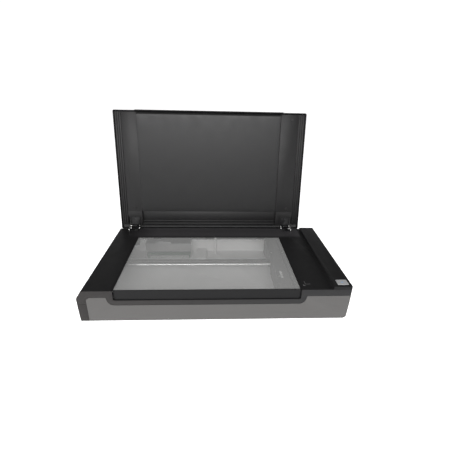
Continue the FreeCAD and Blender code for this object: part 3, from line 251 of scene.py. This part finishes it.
# %% Mix the plastics
FINISH = {
    "upper_charcoal": moulded("upper_charcoal", (0.0115, 0.0113, 0.0116), 0.52, gloss=0.07),
    "lower_grey": moulded("lower_grey", (0.079, 0.0768, 0.075), 0.55, drift=0.03, gloss=0.2),
    "end_charcoal": moulded("end_charcoal", (0.0245, 0.0228, 0.0224), 0.55, gloss=0.15),
    "trim_black": moulded("trim_black", (0.006, 0.006, 0.0064), 0.36, depth=0.00001, drift=0.03,
                          gloss=0.15),
    "white_plastic": moulded("white_plastic", (0.72, 0.72, 0.7), 0.5, drift=0.02),
    "black_plastic": moulded("black_plastic", (0.0065, 0.0065, 0.007), 0.45, gloss=0.2),
    "silver_button": moulded("silver_button", (0.33, 0.332, 0.335), 0.36, pitch=0.0003,
                             depth=0.00001, drift=0.03),
    "lid_charcoal": moulded("lid_charcoal", (0.007, 0.0068, 0.0071), 0.45, gloss=0.25),
    "liner_charcoal": moulded("liner_charcoal", (0.009, 0.0087, 0.009), 0.45, gloss=0.22),
    "mat_black": moulded("mat_black", (0.003, 0.0029, 0.0032), 0.38, pitch=0.0009, depth=0.00008,
                         drift=0.04, gloss=0.27),
    "foam_grey": moulded("foam_grey", (0.05, 0.05, 0.05), 0.9, pitch=0.0016, depth=0.0006),
    "inner_grey": moulded("inner_grey", (0.8, 0.795, 0.785), 0.5, drift=0.02),
    "cable_white": moulded("cable_white", (0.6, 0.61, 0.63), 0.4, drift=0.02),
    "board_green": moulded("board_green", (0.012, 0.1, 0.045), 0.35, drift=0.15),
    "foot_rubber": moulded("foot_rubber", (0.018, 0.018, 0.018), 0.8, depth=0.0001),
    "belt_rubber": moulded("belt_rubber", (0.02, 0.02, 0.02), 0.7, depth=0.0001),
    "print_grey": moulded("print_grey", (0.13, 0.13, 0.13), 0.5, drift=0.02),
}
print("plastics:", len(FINISH))

# %% [markdown]
# ## Painted light that fades along the case
# The front band is painted lighter at its left end and darker towards the right, a painted light
# falloff, and the strip of deck behind the glass is painted lighter than the rest, a painted
# reflection of the lid. Each is one moulding, so the painted light goes into its material and not
# into a new piece: the place in object space is turned into a share from 0 to 1, and the share
# mixes two colours.

# %% Fade two of them


def fade(finish, colour, spans):
    """Fades a finish to another colour to paint light or shade along it; each span is an axis with
    its start and end in metres.
    """
    tree = FINISH[finish].node_tree
    shader = tree.nodes["Principled BSDF"]
    place = tree.nodes.new("ShaderNodeTexCoord")
    axes = tree.nodes.new("ShaderNodeSeparateXYZ")
    tree.links.new(place.outputs["Object"], axes.inputs[0])
    share = None
    for axis, start, end in spans:
        step = tree.nodes.new("ShaderNodeMapRange")
        step.inputs["From Min"].default_value = start
        step.inputs["From Max"].default_value = end
        tree.links.new(axes.outputs[axis], step.inputs["Value"])
        if share is None:
            share = step.outputs["Result"]
            continue
        both = tree.nodes.new("ShaderNodeMath")
        both.operation = "MULTIPLY"
        tree.links.new(step.outputs["Result"], both.inputs[0])
        tree.links.new(share, both.inputs[1])
        share = both.outputs[0]
    blend = tree.nodes.new("ShaderNodeMix")
    blend.data_type = "RGBA"
    tree.links.new(share, blend.inputs["Factor"])
    tree.links.new(shader.inputs["Base Color"].links[0].from_socket, blend.inputs["A"])
    blend.inputs["B"].default_value = (*colour, 1)
    tree.links.new(blend.outputs["Result"], shader.inputs["Base Color"])


band_right_painted_shade, rear_deck_painted_reflection = (0.0165, 0.0165, 0.017), (0.04, 0.0385, 0.0405)
band_painted_light_falloff = [("X", -0.25, 0.24)]
behind_glass = [("Y", 0.112, 0.128), ("X", -0.29, -0.2), ("X", 0.288, 0.284)]
# Painted light: the front band is painted lighter at its left end and darker towards the right.
fade("end_charcoal", band_right_painted_shade, band_painted_light_falloff)
# Painted reflection: the strip of deck behind the glass is painted lighter where the deck mirrors the
# lid.
fade("upper_charcoal", rear_deck_painted_reflection, behind_glass)
print("fades:", len(band_painted_light_falloff), "span for the band,", len(behind_glass), "for the deck")

# %% [markdown]
# ## Metals
# Turned and ground steel carries fine lines in the direction of the work. A noise squeezed along
# one axis draws them, both in the roughness and in a very shallow bump; plated steel has the same
# noise without the squeeze. The Anisotropic input could stretch the highlight too, but it draws no
# single lines.

# %% The metal recipe


def metal(name, colour, rough, stretch=(1, 1, 1), scale=400.0, depth=0.00002, spread_by=0.06):
    material, tree, shader = shader_of(name)
    shader.inputs["Metallic"].default_value = 1.0
    lines = noise(tree, scale, 3.0, stretch)
    tint = spread(tree, noise(tree, 30.0, 3.0), scaled(colour, 0.93), colour)
    tree.links.new(tint, shader.inputs["Base Color"])
    tree.links.new(spread(tree, lines, rough - spread_by, rough + spread_by),
                   shader.inputs["Roughness"])
    grain(tree, shader, lines, depth, 0.5)
    return material


FINISH["polished_rod"] = metal("polished_rod", (0.86, 0.86, 0.85), 0.34, (1, 60, 60), 60.0, 0.0000002,
                                spread_by=0.01)
FINISH["zinc_steel"] = metal("zinc_steel", (0.8, 0.8, 0.78), 0.42)
FINISH["motor_steel"] = metal("motor_steel", (0.5, 0.5, 0.5), 0.38, (1, 1, 20), 200.0)
FINISH["black_steel"] = metal("black_steel", (0.05, 0.05, 0.052), 0.4)
FINISH["bronze"] = metal("bronze", (0.55, 0.38, 0.2), 0.42)
FINISH["mirror_glass"] = metal("mirror_glass", (0.9, 0.9, 0.9), 0.06, spread_by=0.01,
                               depth=0.000001)
print("finishes with the metals:", len(FINISH))

# %% [markdown]
# ## Glass and lenses
# The platen is 3 mm float glass. A full glass shader would bend every shadow ray and leave the
# inside of the machine noisy and dark, so the plate is made thin to light instead: an even, mostly
# clear sheet whose own faint grey is the film of dust and haze that such glass always wears. The
# lamp tubes and the button's light are the same recipe with a denser cover.

# %% Glass, lamp tubes and the button's light


def clear_sheet(name, colour, cover, rough, haze=0.02):
    """A sheet that hides what is behind it by the share cover, from 0 to 1."""
    material, tree, shader = shader_of(name)
    tint = spread(tree, noise(tree, 14.0, 4.0), scaled(colour, 0.94), colour)
    tree.links.new(tint, shader.inputs["Base Color"])
    tree.links.new(spread(tree, noise(tree, 22.0, 4.0), rough, rough + haze),
                   shader.inputs["Roughness"])
    shader.inputs["Alpha"].default_value = cover
    shader.inputs["IOR"].default_value = 1.52
    return material


FINISH["clear_glass"] = clear_sheet("clear_glass", (0.55, 0.552, 0.545), 0.32, 0.05)
FINISH["lamp_glass"] = clear_sheet("lamp_glass", (0.8, 0.8, 0.78), 0.75, 0.3)
FINISH["blue_lens"] = clear_sheet("blue_lens", (0.3, 0.5, 0.82), 0.9, 0.2)
print("all finishes:", len(FINISH))

# %% [markdown]
# ## Dress the frame
# Every node of the frame already names its finish, so one loop gives each its new material. The
# mesh isn't touched; only the material in its slot is exchanged.

# %% Give each node its finish
slot_of = {}
for node, item in frame["nodes"].items():
    name = item.data.materials[0].name.split(".")[0]
    slot_of[node] = name
    item.data.materials[0] = FINISH[name]
print("dressed:", len(slot_of), "nodes in", len(set(slot_of.values())), "finishes")

# %% [markdown]
# ## Pieces
# A new piece is a mesh that stands at the world's origin, rides on one body of the machine, names
# its finish and may stand for a node of the frame. Modifiers are used up before that, by taking the
# evaluated mesh, so that a piece is always plain mesh. Live modifiers would work too, but a piece
# that rides on a moving body is safer without them.

# %% Helpers that put a mesh in the scene
merge_within = 0.01 * MM


def piece_from(mesh, name, body, finish, *nodes):
    """Puts a finished mesh in the scene as a piece that rides on a body and stands for nodes."""
    item = bpy.data.objects.new(name, mesh)
    scene.collection.objects.link(item)
    mesh.materials.clear()
    mesh.materials.append(FINISH[finish])
    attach(item, body)
    if nodes:
        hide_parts(*nodes)
    return item


def smooth(mesh, degrees=35):
    mesh.shade_smooth()
    mesh.set_sharp_from_angle(angle=math.radians(degrees))


def settle(item):
    """The evaluated mesh of an object with modifiers, as a plain mesh; the object is removed."""
    depsgraph = bpy.context.evaluated_depsgraph_get()
    mesh = bpy.data.meshes.new_from_object(item.evaluated_get(depsgraph))
    bpy.data.objects.remove(item)
    return mesh


print("points nearer than", merge_within / MM, "mm are merged")

# %% [markdown]
# ## Rounded edges
# A real moulding or pressing has no knife edges: each catches a thin line of light. A bevel in the
# shader would only be seen here, so the edges are really cut. The node's triangles are merged, its
# flat faces are made whole again, and a Bevel modifier rounds what is sharper than 30 degrees.

# %% Round the edges of the hard pieces


def rounded(node, width):
    """A copy of a node with its sharp edges rounded by a width in millimetres."""
    source = frame["nodes"][node]
    work = bmesh.new()
    work.from_mesh(source.data)
    bmesh.ops.remove_doubles(work, verts=work.verts, dist=merge_within)
    bmesh.ops.dissolve_limit(work, angle_limit=math.radians(0.8), verts=work.verts, edges=work.edges,
                             delimit={"NORMAL"})
    mesh = bpy.data.meshes.new(node)
    work.to_mesh(mesh)
    work.free()
    item = bpy.data.objects.new("edge_work", mesh)
    scene.collection.objects.link(item)
    bevel = item.modifiers.new("edge", "BEVEL")
    bevel.width = width * MM
    bevel.segments = 2
    bevel.limit_method = "ANGLE"
    bevel.angle_limit = math.radians(30)
    mesh = settle(item)
    smooth(mesh)
    return piece_from(mesh, node + "_edged", source["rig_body"], slot_of[node], node)


edge_widths = {
    "upper_case": 0.2, "lower_case": 0.2, "left_end_cap": 0.2, "front_trim_strip": 0.3,
    "console_cover": 1.0, "lid_shell": 0.5, "lid_liner": 0.4, "lid_rear_panel": 0.3,
    "hinge_post_left": 0.4, "hinge_post_right": 0.4, "hinge_leaf_left": 0.3,
    "hinge_leaf_right": 0.3, "glass_clips": 0.4, "rod_mounts": 0.5, "slide_rail": 0.6,
    "carriage_housing": 0.5, "carriage_cover": 0.4, "board_shield": 0.4, "belt_clamp": 0.3,
    "front_slider": 0.4, "motor_bracket": 0.3, "stepper_motor": 0.5, "idler_bracket": 0.5,
    "cable_clamp": 0.5, "button_cap": 1.2, "transport_lock": 0.4}
for node, width in edge_widths.items():
    made = rounded(node, width)
    print(made.name, len(made.data.polygons), "faces")

# %% [markdown]
# ## Shells in several tones
# The tub is grey outside and paler inside. The deck's front band is a warmer, lighter charcoal than
# its top: the warm tint is its own, and part of the lightness is painted light from the front. The
# lips that meet in the parting line are painted black as painted shade, so that the line reads as a
# shadow and no light shows in it. One mesh can carry several finishes: each face is asked where it
# is and which way it faces. Separate pieces could do the same, but there is no joint in the real
# shells.

# %% Give some faces another finish


half_depth = 187.0
inside_y, inside_left, inside_right = 184.9, -335.0, 339.0
front_wall_back = -184.3


def second_finish(name, finish, chosen):
    """Puts the finish on those faces of a piece whose middle and normal the test accepts."""
    mesh = bpy.data.objects[name].data
    mesh.materials.append(FINISH[finish])
    number = len(mesh.materials) - 1
    count = 0
    for face in mesh.polygons:
        if chosen(face.center / MM, face.normal):
            face.material_index = number
            count += 1
    print(name, "faces in", finish + ":", count)


def is_inside(middle, normal):
    in_walls = abs(middle.y) < inside_y and inside_left < middle.x < inside_right
    return in_walls and (middle.z > 5 or normal.z > 0.5)


def is_rim(middle, normal):
    """The tub's upper edge all round; it can be one long face whose middle is far from the wall."""
    return normal.z > 0.3 and middle.z > 60


def is_front_band(middle, normal):
    return middle.y < 1 - half_depth and normal.y < -0.6


def in_front_wall(middle, normal):
    """The thin faces between the outside and the inside of the front wall, above the floor."""
    in_wall = -half_depth - 0.1 < middle.y < front_wall_back
    return in_wall and abs(normal.y) < 0.95 and middle.z > 8


def shade_painted_lips_of_tub(middle, normal):
    lip = in_front_wall(middle, normal) and (normal.z > 0.1 or normal.x < -0.3)
    return lip or is_rim(middle, normal)


def shade_painted_lips_of_cap(middle, normal):
    return in_front_wall(middle, normal) and (normal.z > 0.1 or normal.x > 0.3)


def shade_painted_lips_of_deck(middle, normal):
    return in_front_wall(middle, normal) and normal.z < -0.1 and normal.x > -0.5


second_finish("lower_case_edged", "inner_grey", is_inside)
# Painted shade: the lips along the parting line are painted black so that the seam reads as a shadow.
second_finish("lower_case_edged", "black_plastic", shade_painted_lips_of_tub)
second_finish("left_end_cap_edged", "black_plastic", shade_painted_lips_of_cap)
# Partly painted light: the front band's warm tint is its own, and part of its extra lightness is
# painted light from the front.
second_finish("upper_case_edged", "end_charcoal", is_front_band)
# Painted shade on the deck's lips along the parting line as well.
second_finish("upper_case_edged", "black_plastic", shade_painted_lips_of_deck)

# %% [markdown]
# ## The backing pad
# Under the lid a stiff plastic sheet is glued to a slab of foam that presses the paper flat. Both
# are soft goods, so they are shaped as such: their edges roll over, more on the foam than on the
# sheet, and their faces wave by a few hundredths of a millimetre. A cloth simulation could inflate
# them, but they are glued flat all over and hold this shape.

# %% Shape the mat and its foam
hinge_line = Vector((0, 194, 99.5)) * MM
open_angle = 97.6
lid_turn = (Matrix.Translation(hinge_line) @ Matrix.Rotation(math.radians(-open_angle), 4, "X")
            @ Matrix.Translation(-hinge_line))


def closed_box(node):
    """The two corners of a lid part, as it lies when the lid is shut."""
    shut = lid_turn.inverted()
    points = [shut @ v.co for v in frame["nodes"][node].data.vertices]
    return [Vector(pick(p[i] for p in points) for i in range(3)) for pick in (min, max)]


def wave(x, y, height):
    """A slow wave 20 to 27 cm long, with a smaller and shorter one across it."""
    slow = math.sin(x * 31 + 1.3) * math.cos(y * 23 + 0.4)
    return height * (slow + 0.4 * math.sin(x * 83 + y * 57))


def pad(node, name, roll, bulge, across=64, along=44):
    """A slab with rolled edges and faintly waving faces in the box of a lid part."""
    low, high = closed_box(node)
    size = high - low
    shape = bmesh.new()
    rows = {}
    for side in (0, 1):
        for i in range(across + 1):
            for j in range(along + 1):
                u, v = i / across, j / along
                x, y = low.x + size.x * u, low.y + size.y * v
                edge = min(size.x * min(u, 1 - u), size.y * min(v, 1 - v))
                sink = roll * (1 - min(edge / (roll * 2.5), 1)) ** 2 + abs(wave(x, y, bulge))
                z = low.z + sink if side == 0 else high.z - sink
                rows[side, i, j] = shape.verts.new((x, y, z))
    for i in range(across):
        for j in range(along):
            corners = [(i, j), (i, j + 1), (i + 1, j + 1), (i + 1, j)]
            shape.faces.new([rows[(0, *c)] for c in corners])
            shape.faces.new([rows[(1, *c)] for c in reversed(corners)])
    rim = ([(i, 0) for i in range(across)] + [(across, j) for j in range(along)]
           + [(i, along) for i in range(across, 0, -1)] + [(0, j) for j in range(along, 0, -1)])
    for a, b in zip(rim, rim[1:] + rim[:1]):
        shape.faces.new([rows[(0, *a)], rows[(0, *b)], rows[(1, *b)], rows[(1, *a)]])
    bmesh.ops.transform(shape, matrix=lid_turn, verts=shape.verts)
    bmesh.ops.recalc_face_normals(shape, faces=shape.faces)
    mesh = bpy.data.meshes.new(name)
    shape.to_mesh(mesh)
    shape.free()
    smooth(mesh, 50)
    item = piece_from(mesh, name, "lid", slot_of[node], node)
    return item


backing_sheet = pad("backing_mat", "backing_sheet", 0.3 * MM, 0.02 * MM)
backing_slab = pad("backing_foam", "backing_slab", 0.8 * MM, 0.05 * MM)
print("pad faces:", len(backing_sheet.data.polygons) + len(backing_slab.data.polygons))

# %% [markdown]
# ## Screws
# Seventeen screws hold the machine together, and they differ only in place, length and direction.
# That is work for Geometry Nodes: one tree makes a flat head with a cross cut in it and puts a copy
# on every point of a small mesh of points. Arrays or copied objects would work as well, but a tree
# keeps the head's shape in one place. Three helpers come first: one opens a tree with named inputs,
# one adds a node and wires it, and one runs a finished tree.

# %% Helpers for a geometry tree


def node_tree(name, sockets):
    """An empty geometry tree whose inputs are named; returns it with its in and out nodes."""
    tree = bpy.data.node_groups.new(name, "GeometryNodeTree")
    tree.interface.new_socket(name="Points", in_out="INPUT", socket_type="NodeSocketGeometry")
    for label, kind in sockets:
        tree.interface.new_socket(name=label, in_out="INPUT", socket_type="NodeSocket" + kind)
    tree.interface.new_socket(name="Shape", in_out="OUTPUT", socket_type="NodeSocketGeometry")
    return tree, tree.nodes.new("NodeGroupInput"), tree.nodes.new("NodeGroupOutput")


def wire(tree, kind, inputs=(), **settings):
    """Adds a node; inputs are pairs of a socket and a value, or the output that feeds it."""
    node = tree.nodes.new("GeometryNode" + kind)
    for label, value in settings.items():
        setattr(node, label, value)
    for socket, value in inputs:
        if isinstance(value, bpy.types.NodeSocket):
            tree.links.new(value, node.inputs[socket])
        else:
            node.inputs[socket].default_value = value
    return node


def grow(tree, points, values, name, body, finish, node):
    """Runs a tree on a mesh of points; the result is a piece that replaces a node."""
    mesh = bpy.data.meshes.new(name + "_points")
    mesh.from_pydata([tuple(p) for p in points], [], [])
    item = bpy.data.objects.new(name + "_seed", mesh)
    scene.collection.objects.link(item)
    modifier = item.modifiers.new("grow", "NODES")
    modifier.node_group = tree
    for socket in tree.interface.items_tree:
        if socket.in_out == "INPUT" and socket.name in values:
            modifier[socket.identifier] = values[socket.name]
    grown = settle(item)
    smooth(grown)
    return piece_from(grown, name, body, finish, node)


print("trees so far:", len(bpy.data.node_groups))

# %% [markdown]
# ## The screw tree
# The head is a short cylinder, and two crossed blades are taken away from its top. The shaft hangs
# below it, so it is moved down by half its length. Instances are made real and given their metal
# at the end, because what leaves the scene has to be plain mesh.

# %% Build the screw tree
head_radius, head_height = 3 * MM, 1.2 * MM
slot_length, slot_width, slot_block, slot_lift = 0.0036, 0.0007, 0.0012, 0.0008
shaft_radius = 0.0015
heads, given, result = node_tree("screw_heads", [
    ("Radius", "Float"), ("Height", "Float"), ("Shaft", "Float"), ("Turn", "Vector"),
    ("Finish", "Material")])
disc = wire(heads, "MeshCylinder", [("Vertices", 24), ("Radius", given.outputs["Radius"]),
                                    ("Depth", given.outputs["Height"])])
cross = wire(heads, "JoinGeometry")
for size in ((slot_length, slot_width, slot_block), (slot_width, slot_length, slot_block)):
    blade = wire(heads, "MeshCube", [("Size", size)])
    heads.links.new(blade.outputs["Mesh"], cross.inputs[0])
raised = wire(heads, "Transform", [("Geometry", cross.outputs["Geometry"]),
                                   ("Translation", (0, 0, slot_lift))])
cut_head = wire(heads, "MeshBoolean", [("Mesh 1", disc.outputs["Mesh"]),
                                       ("Mesh 2", raised.outputs["Geometry"])],
                operation="DIFFERENCE")
shaft = wire(heads, "MeshCylinder", [("Vertices", 16), ("Radius", shaft_radius),
                                     ("Depth", given.outputs["Shaft"])])
drop = heads.nodes.new("ShaderNodeMath")
drop.operation = "MULTIPLY"
drop.inputs[1].default_value = -0.5
heads.links.new(given.outputs["Shaft"], drop.inputs[0])
below = heads.nodes.new("ShaderNodeCombineXYZ")
heads.links.new(drop.outputs[0], below.inputs["Z"])
shaft_down = wire(heads, "Transform", [("Geometry", shaft.outputs["Mesh"]),
                                       ("Translation", below.outputs[0])])
screw = wire(heads, "JoinGeometry")
heads.links.new(shaft_down.outputs["Geometry"], screw.inputs[0])
heads.links.new(cut_head.outputs["Mesh"], screw.inputs[0])
copies = wire(heads, "InstanceOnPoints", [("Points", given.outputs["Points"]),
                                          ("Instance", screw.outputs["Geometry"]),
                                          ("Rotation", given.outputs["Turn"])])
real = wire(heads, "RealizeInstances", [("Geometry", copies.outputs["Instances"])])
coated = wire(heads, "SetMaterial", [("Geometry", real.outputs["Geometry"]),
                                     ("Material", given.outputs["Finish"])])
heads.links.new(coated.outputs["Geometry"], result.inputs["Shape"])
print("nodes in the screw tree:", len(heads.nodes))

# %% [markdown]
# ## Screws in their places
# The frame holds all screws of one kind as one node of loose parts. Each loose part is followed
# from corner to corner, and its box says where its screw stands. The lid's screws are measured with
# the lid turned shut, where they stand upright, and are turned back open.

# %% Grow the screws


def islands(node, shut=False):
    """The two corners of each loose part of a node, taken with the lid shut if asked."""
    work = bmesh.new()
    work.from_mesh(frame["nodes"][node].data)
    bmesh.ops.remove_doubles(work, verts=work.verts, dist=merge_within)
    if shut:
        work.transform(lid_turn.inverted())
    left, found = set(work.verts), []
    while left:
        group, queue = set(), [left.pop()]
        while queue:
            vertex = queue.pop()
            group.add(vertex)
            for edge in vertex.link_edges:
                other = edge.other_vert(vertex)
                if other in left:
                    left.discard(other)
                    queue.append(other)
        found.append([Vector(pick(v.co[i] for v in group) for i in range(3))
                      for pick in (min, max)])
    work.free()
    return sorted(found, key=lambda pair: tuple(pair[0]))


for node, body, tilt, shaft_length in (
        ("case_screws", "base", 180.0, 12.6), ("clamp_screws", "base", 0.0, 0.7),
        ("carriage_screws", "carriage", 0.0, 0.7), ("lid_screws", "lid", 180.0 - open_angle, 0.7)):
    spots = []
    for low, high in islands(node, shut=body == "lid"):
        middle = (low + high) / 2
        down = tilt != 0.0
        middle.z = low.z + head_height / 2 if down else high.z - head_height / 2
        spots.append(lid_turn @ middle if body == "lid" else middle)
    made = grow(heads, spots, {
        "Radius": head_radius, "Height": head_height, "Shaft": shaft_length * MM,
        "Turn": (math.radians(tilt), 0, 0), "Finish": FINISH[slot_of[node]]},
        node + "_cut", body, slot_of[node], node)
    print(made.name, len(spots), "screws,", len(made.data.polygons), "faces")

# %% [markdown]
# ## The drive belt
# The belt's teeth face inwards. They are drawn as steps in its inner outline, one every 2 mm, while
# the outline runs once round both pulleys; a second mesh of separate teeth would do the same with
# more seams.

# %% Cut the belt's teeth


def toothed_belt(low, high, pitch, back, tooth):
    """A ring round two pulleys: smooth outside, stepped inside."""
    radius = (high.y - low.y) / 2
    middle = (high.y + low.y) / 2
    west, east = low.x + radius, high.x - radius
    run = east - west
    total = 2 * run + 2 * math.pi * radius

    def spot(way, depth):
        way %= total
        reach_out = radius - depth
        if way < run:
            return west + way, middle - reach_out
        way -= run
        if way < math.pi * radius:
            angle = way / radius - math.pi / 2
            return east + reach_out * math.cos(angle), middle + reach_out * math.sin(angle)
        way -= math.pi * radius
        if way < run:
            return east - way, middle + reach_out
        angle = (way - run) / radius + math.pi / 2
        return west + reach_out * math.cos(angle), middle + reach_out * math.sin(angle)

    count = round(total / pitch)
    stations = []
    for i in range(count):
        start = total * i / count
        half = total / count / 2
        stations += [(start, back), (start, back + tooth), (start + half, back + tooth),
                     (start + half, back)]
    shape = bmesh.new()
    rings = []
    for way, depth in stations:
        outside, inside = spot(way, 0), spot(way, depth)
        rings.append([shape.verts.new((*outside, low.z)), shape.verts.new((*outside, high.z)),
                      shape.verts.new((*inside, high.z)), shape.verts.new((*inside, low.z))])
    for ring, following in zip(rings, rings[1:] + rings[:1]):
        for i in range(4):
            j = (i + 1) % 4
            shape.faces.new([ring[i], ring[j], following[j], following[i]])
    bmesh.ops.remove_doubles(shape, verts=shape.verts, dist=0.000001)
    bmesh.ops.recalc_face_normals(shape, faces=shape.faces)
    mesh = bpy.data.meshes.new("belt")
    shape.to_mesh(mesh)
    shape.free()
    return mesh


belt_low, belt_high = islands("timing_belt")[0]
belt = toothed_belt(belt_low, belt_high, 2 * MM, 0.7 * MM, 0.5 * MM)
piece_from(belt, "timing_belt_toothed", "base", "belt_rubber", "timing_belt")
print("belt faces:", len(belt.polygons))

# %% [markdown]
# ## Rod and feet
# The guide rod and the rubber feet are turned shapes, so a half outline is swept round an axis. The
# Screw modifier does that too, but mesh code can put all the feet in one mesh and close the poles
# with single points.

# %% Turn the rod and the feet


def turned(profile, centres, steps, name):
    """Sweeps a half outline of (radius, height) round an upright axis at each centre."""
    shape = bmesh.new()
    for centre in centres:
        rings = []
        for radius, height in profile:
            if radius == 0:
                rings.append([shape.verts.new((centre.x, centre.y, height))])
                continue
            rings.append([shape.verts.new((
                centre.x + radius * math.cos(2 * math.pi * i / steps),
                centre.y + radius * math.sin(2 * math.pi * i / steps), height))
                for i in range(steps)])
        for inner, outer in zip(rings, rings[1:]):
            for i in range(steps):
                j = (i + 1) % steps
                if len(inner) == 1:
                    shape.faces.new([inner[0], outer[i], outer[j]])
                elif len(outer) == 1:
                    shape.faces.new([inner[i], outer[0], inner[j]])
                else:
                    shape.faces.new([inner[i], outer[i], outer[j], inner[j]])
    bmesh.ops.recalc_face_normals(shape, faces=shape.faces)
    mesh = bpy.data.meshes.new(name)
    shape.to_mesh(mesh)
    shape.free()
    smooth(mesh, 40)
    return mesh


rod_low, rod_high = islands("guide_rod")[0]
rod_length = rod_high.x - rod_low.x
rod_profile = [(0, 0), (3.6 * MM, 0), (4 * MM, 0.4 * MM), (4 * MM, rod_length - 0.4 * MM),
               (3.6 * MM, rod_length), (0, rod_length)]
rod = turned(rod_profile, [Vector()], 64, "rod")
rod.transform(Matrix.Translation((rod_low.x, (rod_low.y + rod_high.y) / 2,
                                  (rod_low.z + rod_high.z) / 2))
              @ Matrix.Rotation(math.radians(90), 4, "Y"))
piece_from(rod, "guide_rod_turned", "base", "polished_rod", "guide_rod")

foot_profile = [(r * MM, z * MM) for r, z in (
    (0, 0.6), (5.4, 0.6), (6.0, 0), (8.1, 0), (8.6, 0.2), (8.9, 0.7), (9, 1.4), (9, 3), (0, 3))]
foot_spots = [(low + high) / 2 for low, high in islands("rubber_feet")]
feet = turned(foot_profile, foot_spots, 40, "feet")
piece_from(feet, "rubber_feet_turned", "base", "foot_rubber", "rubber_feet")
print("rod length in mm:", round(rod_length / MM, 1), "feet:", len(foot_spots))

# %% [markdown]
# ## Printed marks
# A small page-corner sign is printed on the deck beside the glass, where a sheet is laid, and the
# carriage carries a blank white label. Both are thin skins a few hundredths of a millimetre above
# the plastic, with no lettering. A mask in the deck's own material could draw them as well, but
# a real skin keeps its sharp outline at any distance.

# %% Print the sign and the label


def prisms(outlines, low, high, name):
    """Upright prisms on flat outlines, in metres, as one mesh."""
    shape = bmesh.new()
    for outline in outlines:
        under = [shape.verts.new((x, y, low)) for x, y in outline]
        over = [shape.verts.new((x, y, high)) for x, y in outline]
        shape.faces.new(under[::-1])
        shape.faces.new(over)
        for i, j in zip(range(len(outline)), [*range(1, len(outline)), 0]):
            shape.faces.new([under[i], under[j], over[j], over[i]])
    bmesh.ops.recalc_face_normals(shape, faces=shape.faces)
    mesh = bpy.data.meshes.new(name)
    shape.to_mesh(mesh)
    shape.free()
    return mesh


def in_metres(outline, corner=(0, 0)):
    """An outline in millimetres from a corner, turned into metres."""
    return [((x + corner[0]) * MM, (y + corner[1]) * MM) for x, y in outline]


page = [(0, 0), (13, 0), (13, 1), (1, 1), (1, 14), (0, 14)]
arrow = [(-6, -7), (0, -7), (-6, -1)]
sign_corner, deck_z = (227, -162), 93.5
sign = prisms([in_metres(page, sign_corner), in_metres(arrow, sign_corner)],
              (deck_z - 0.02) * MM, (deck_z + 0.04) * MM, "sign")
sign_piece = piece_from(sign, "deck_sign", "base", "print_grey")
label_bed = islands("carriage_cover")[0][1].z
sticker = [(0, 0), (6, 0), (6, 34), (0, 34)]
label = prisms([in_metres(sticker, (175, -118))],
               label_bed - 0.02 * MM, label_bed + 0.06 * MM, "label")
label_piece = piece_from(label, "carriage_label", "carriage", "white_plastic")
print("printed:", sign_piece.name, label_piece.name)
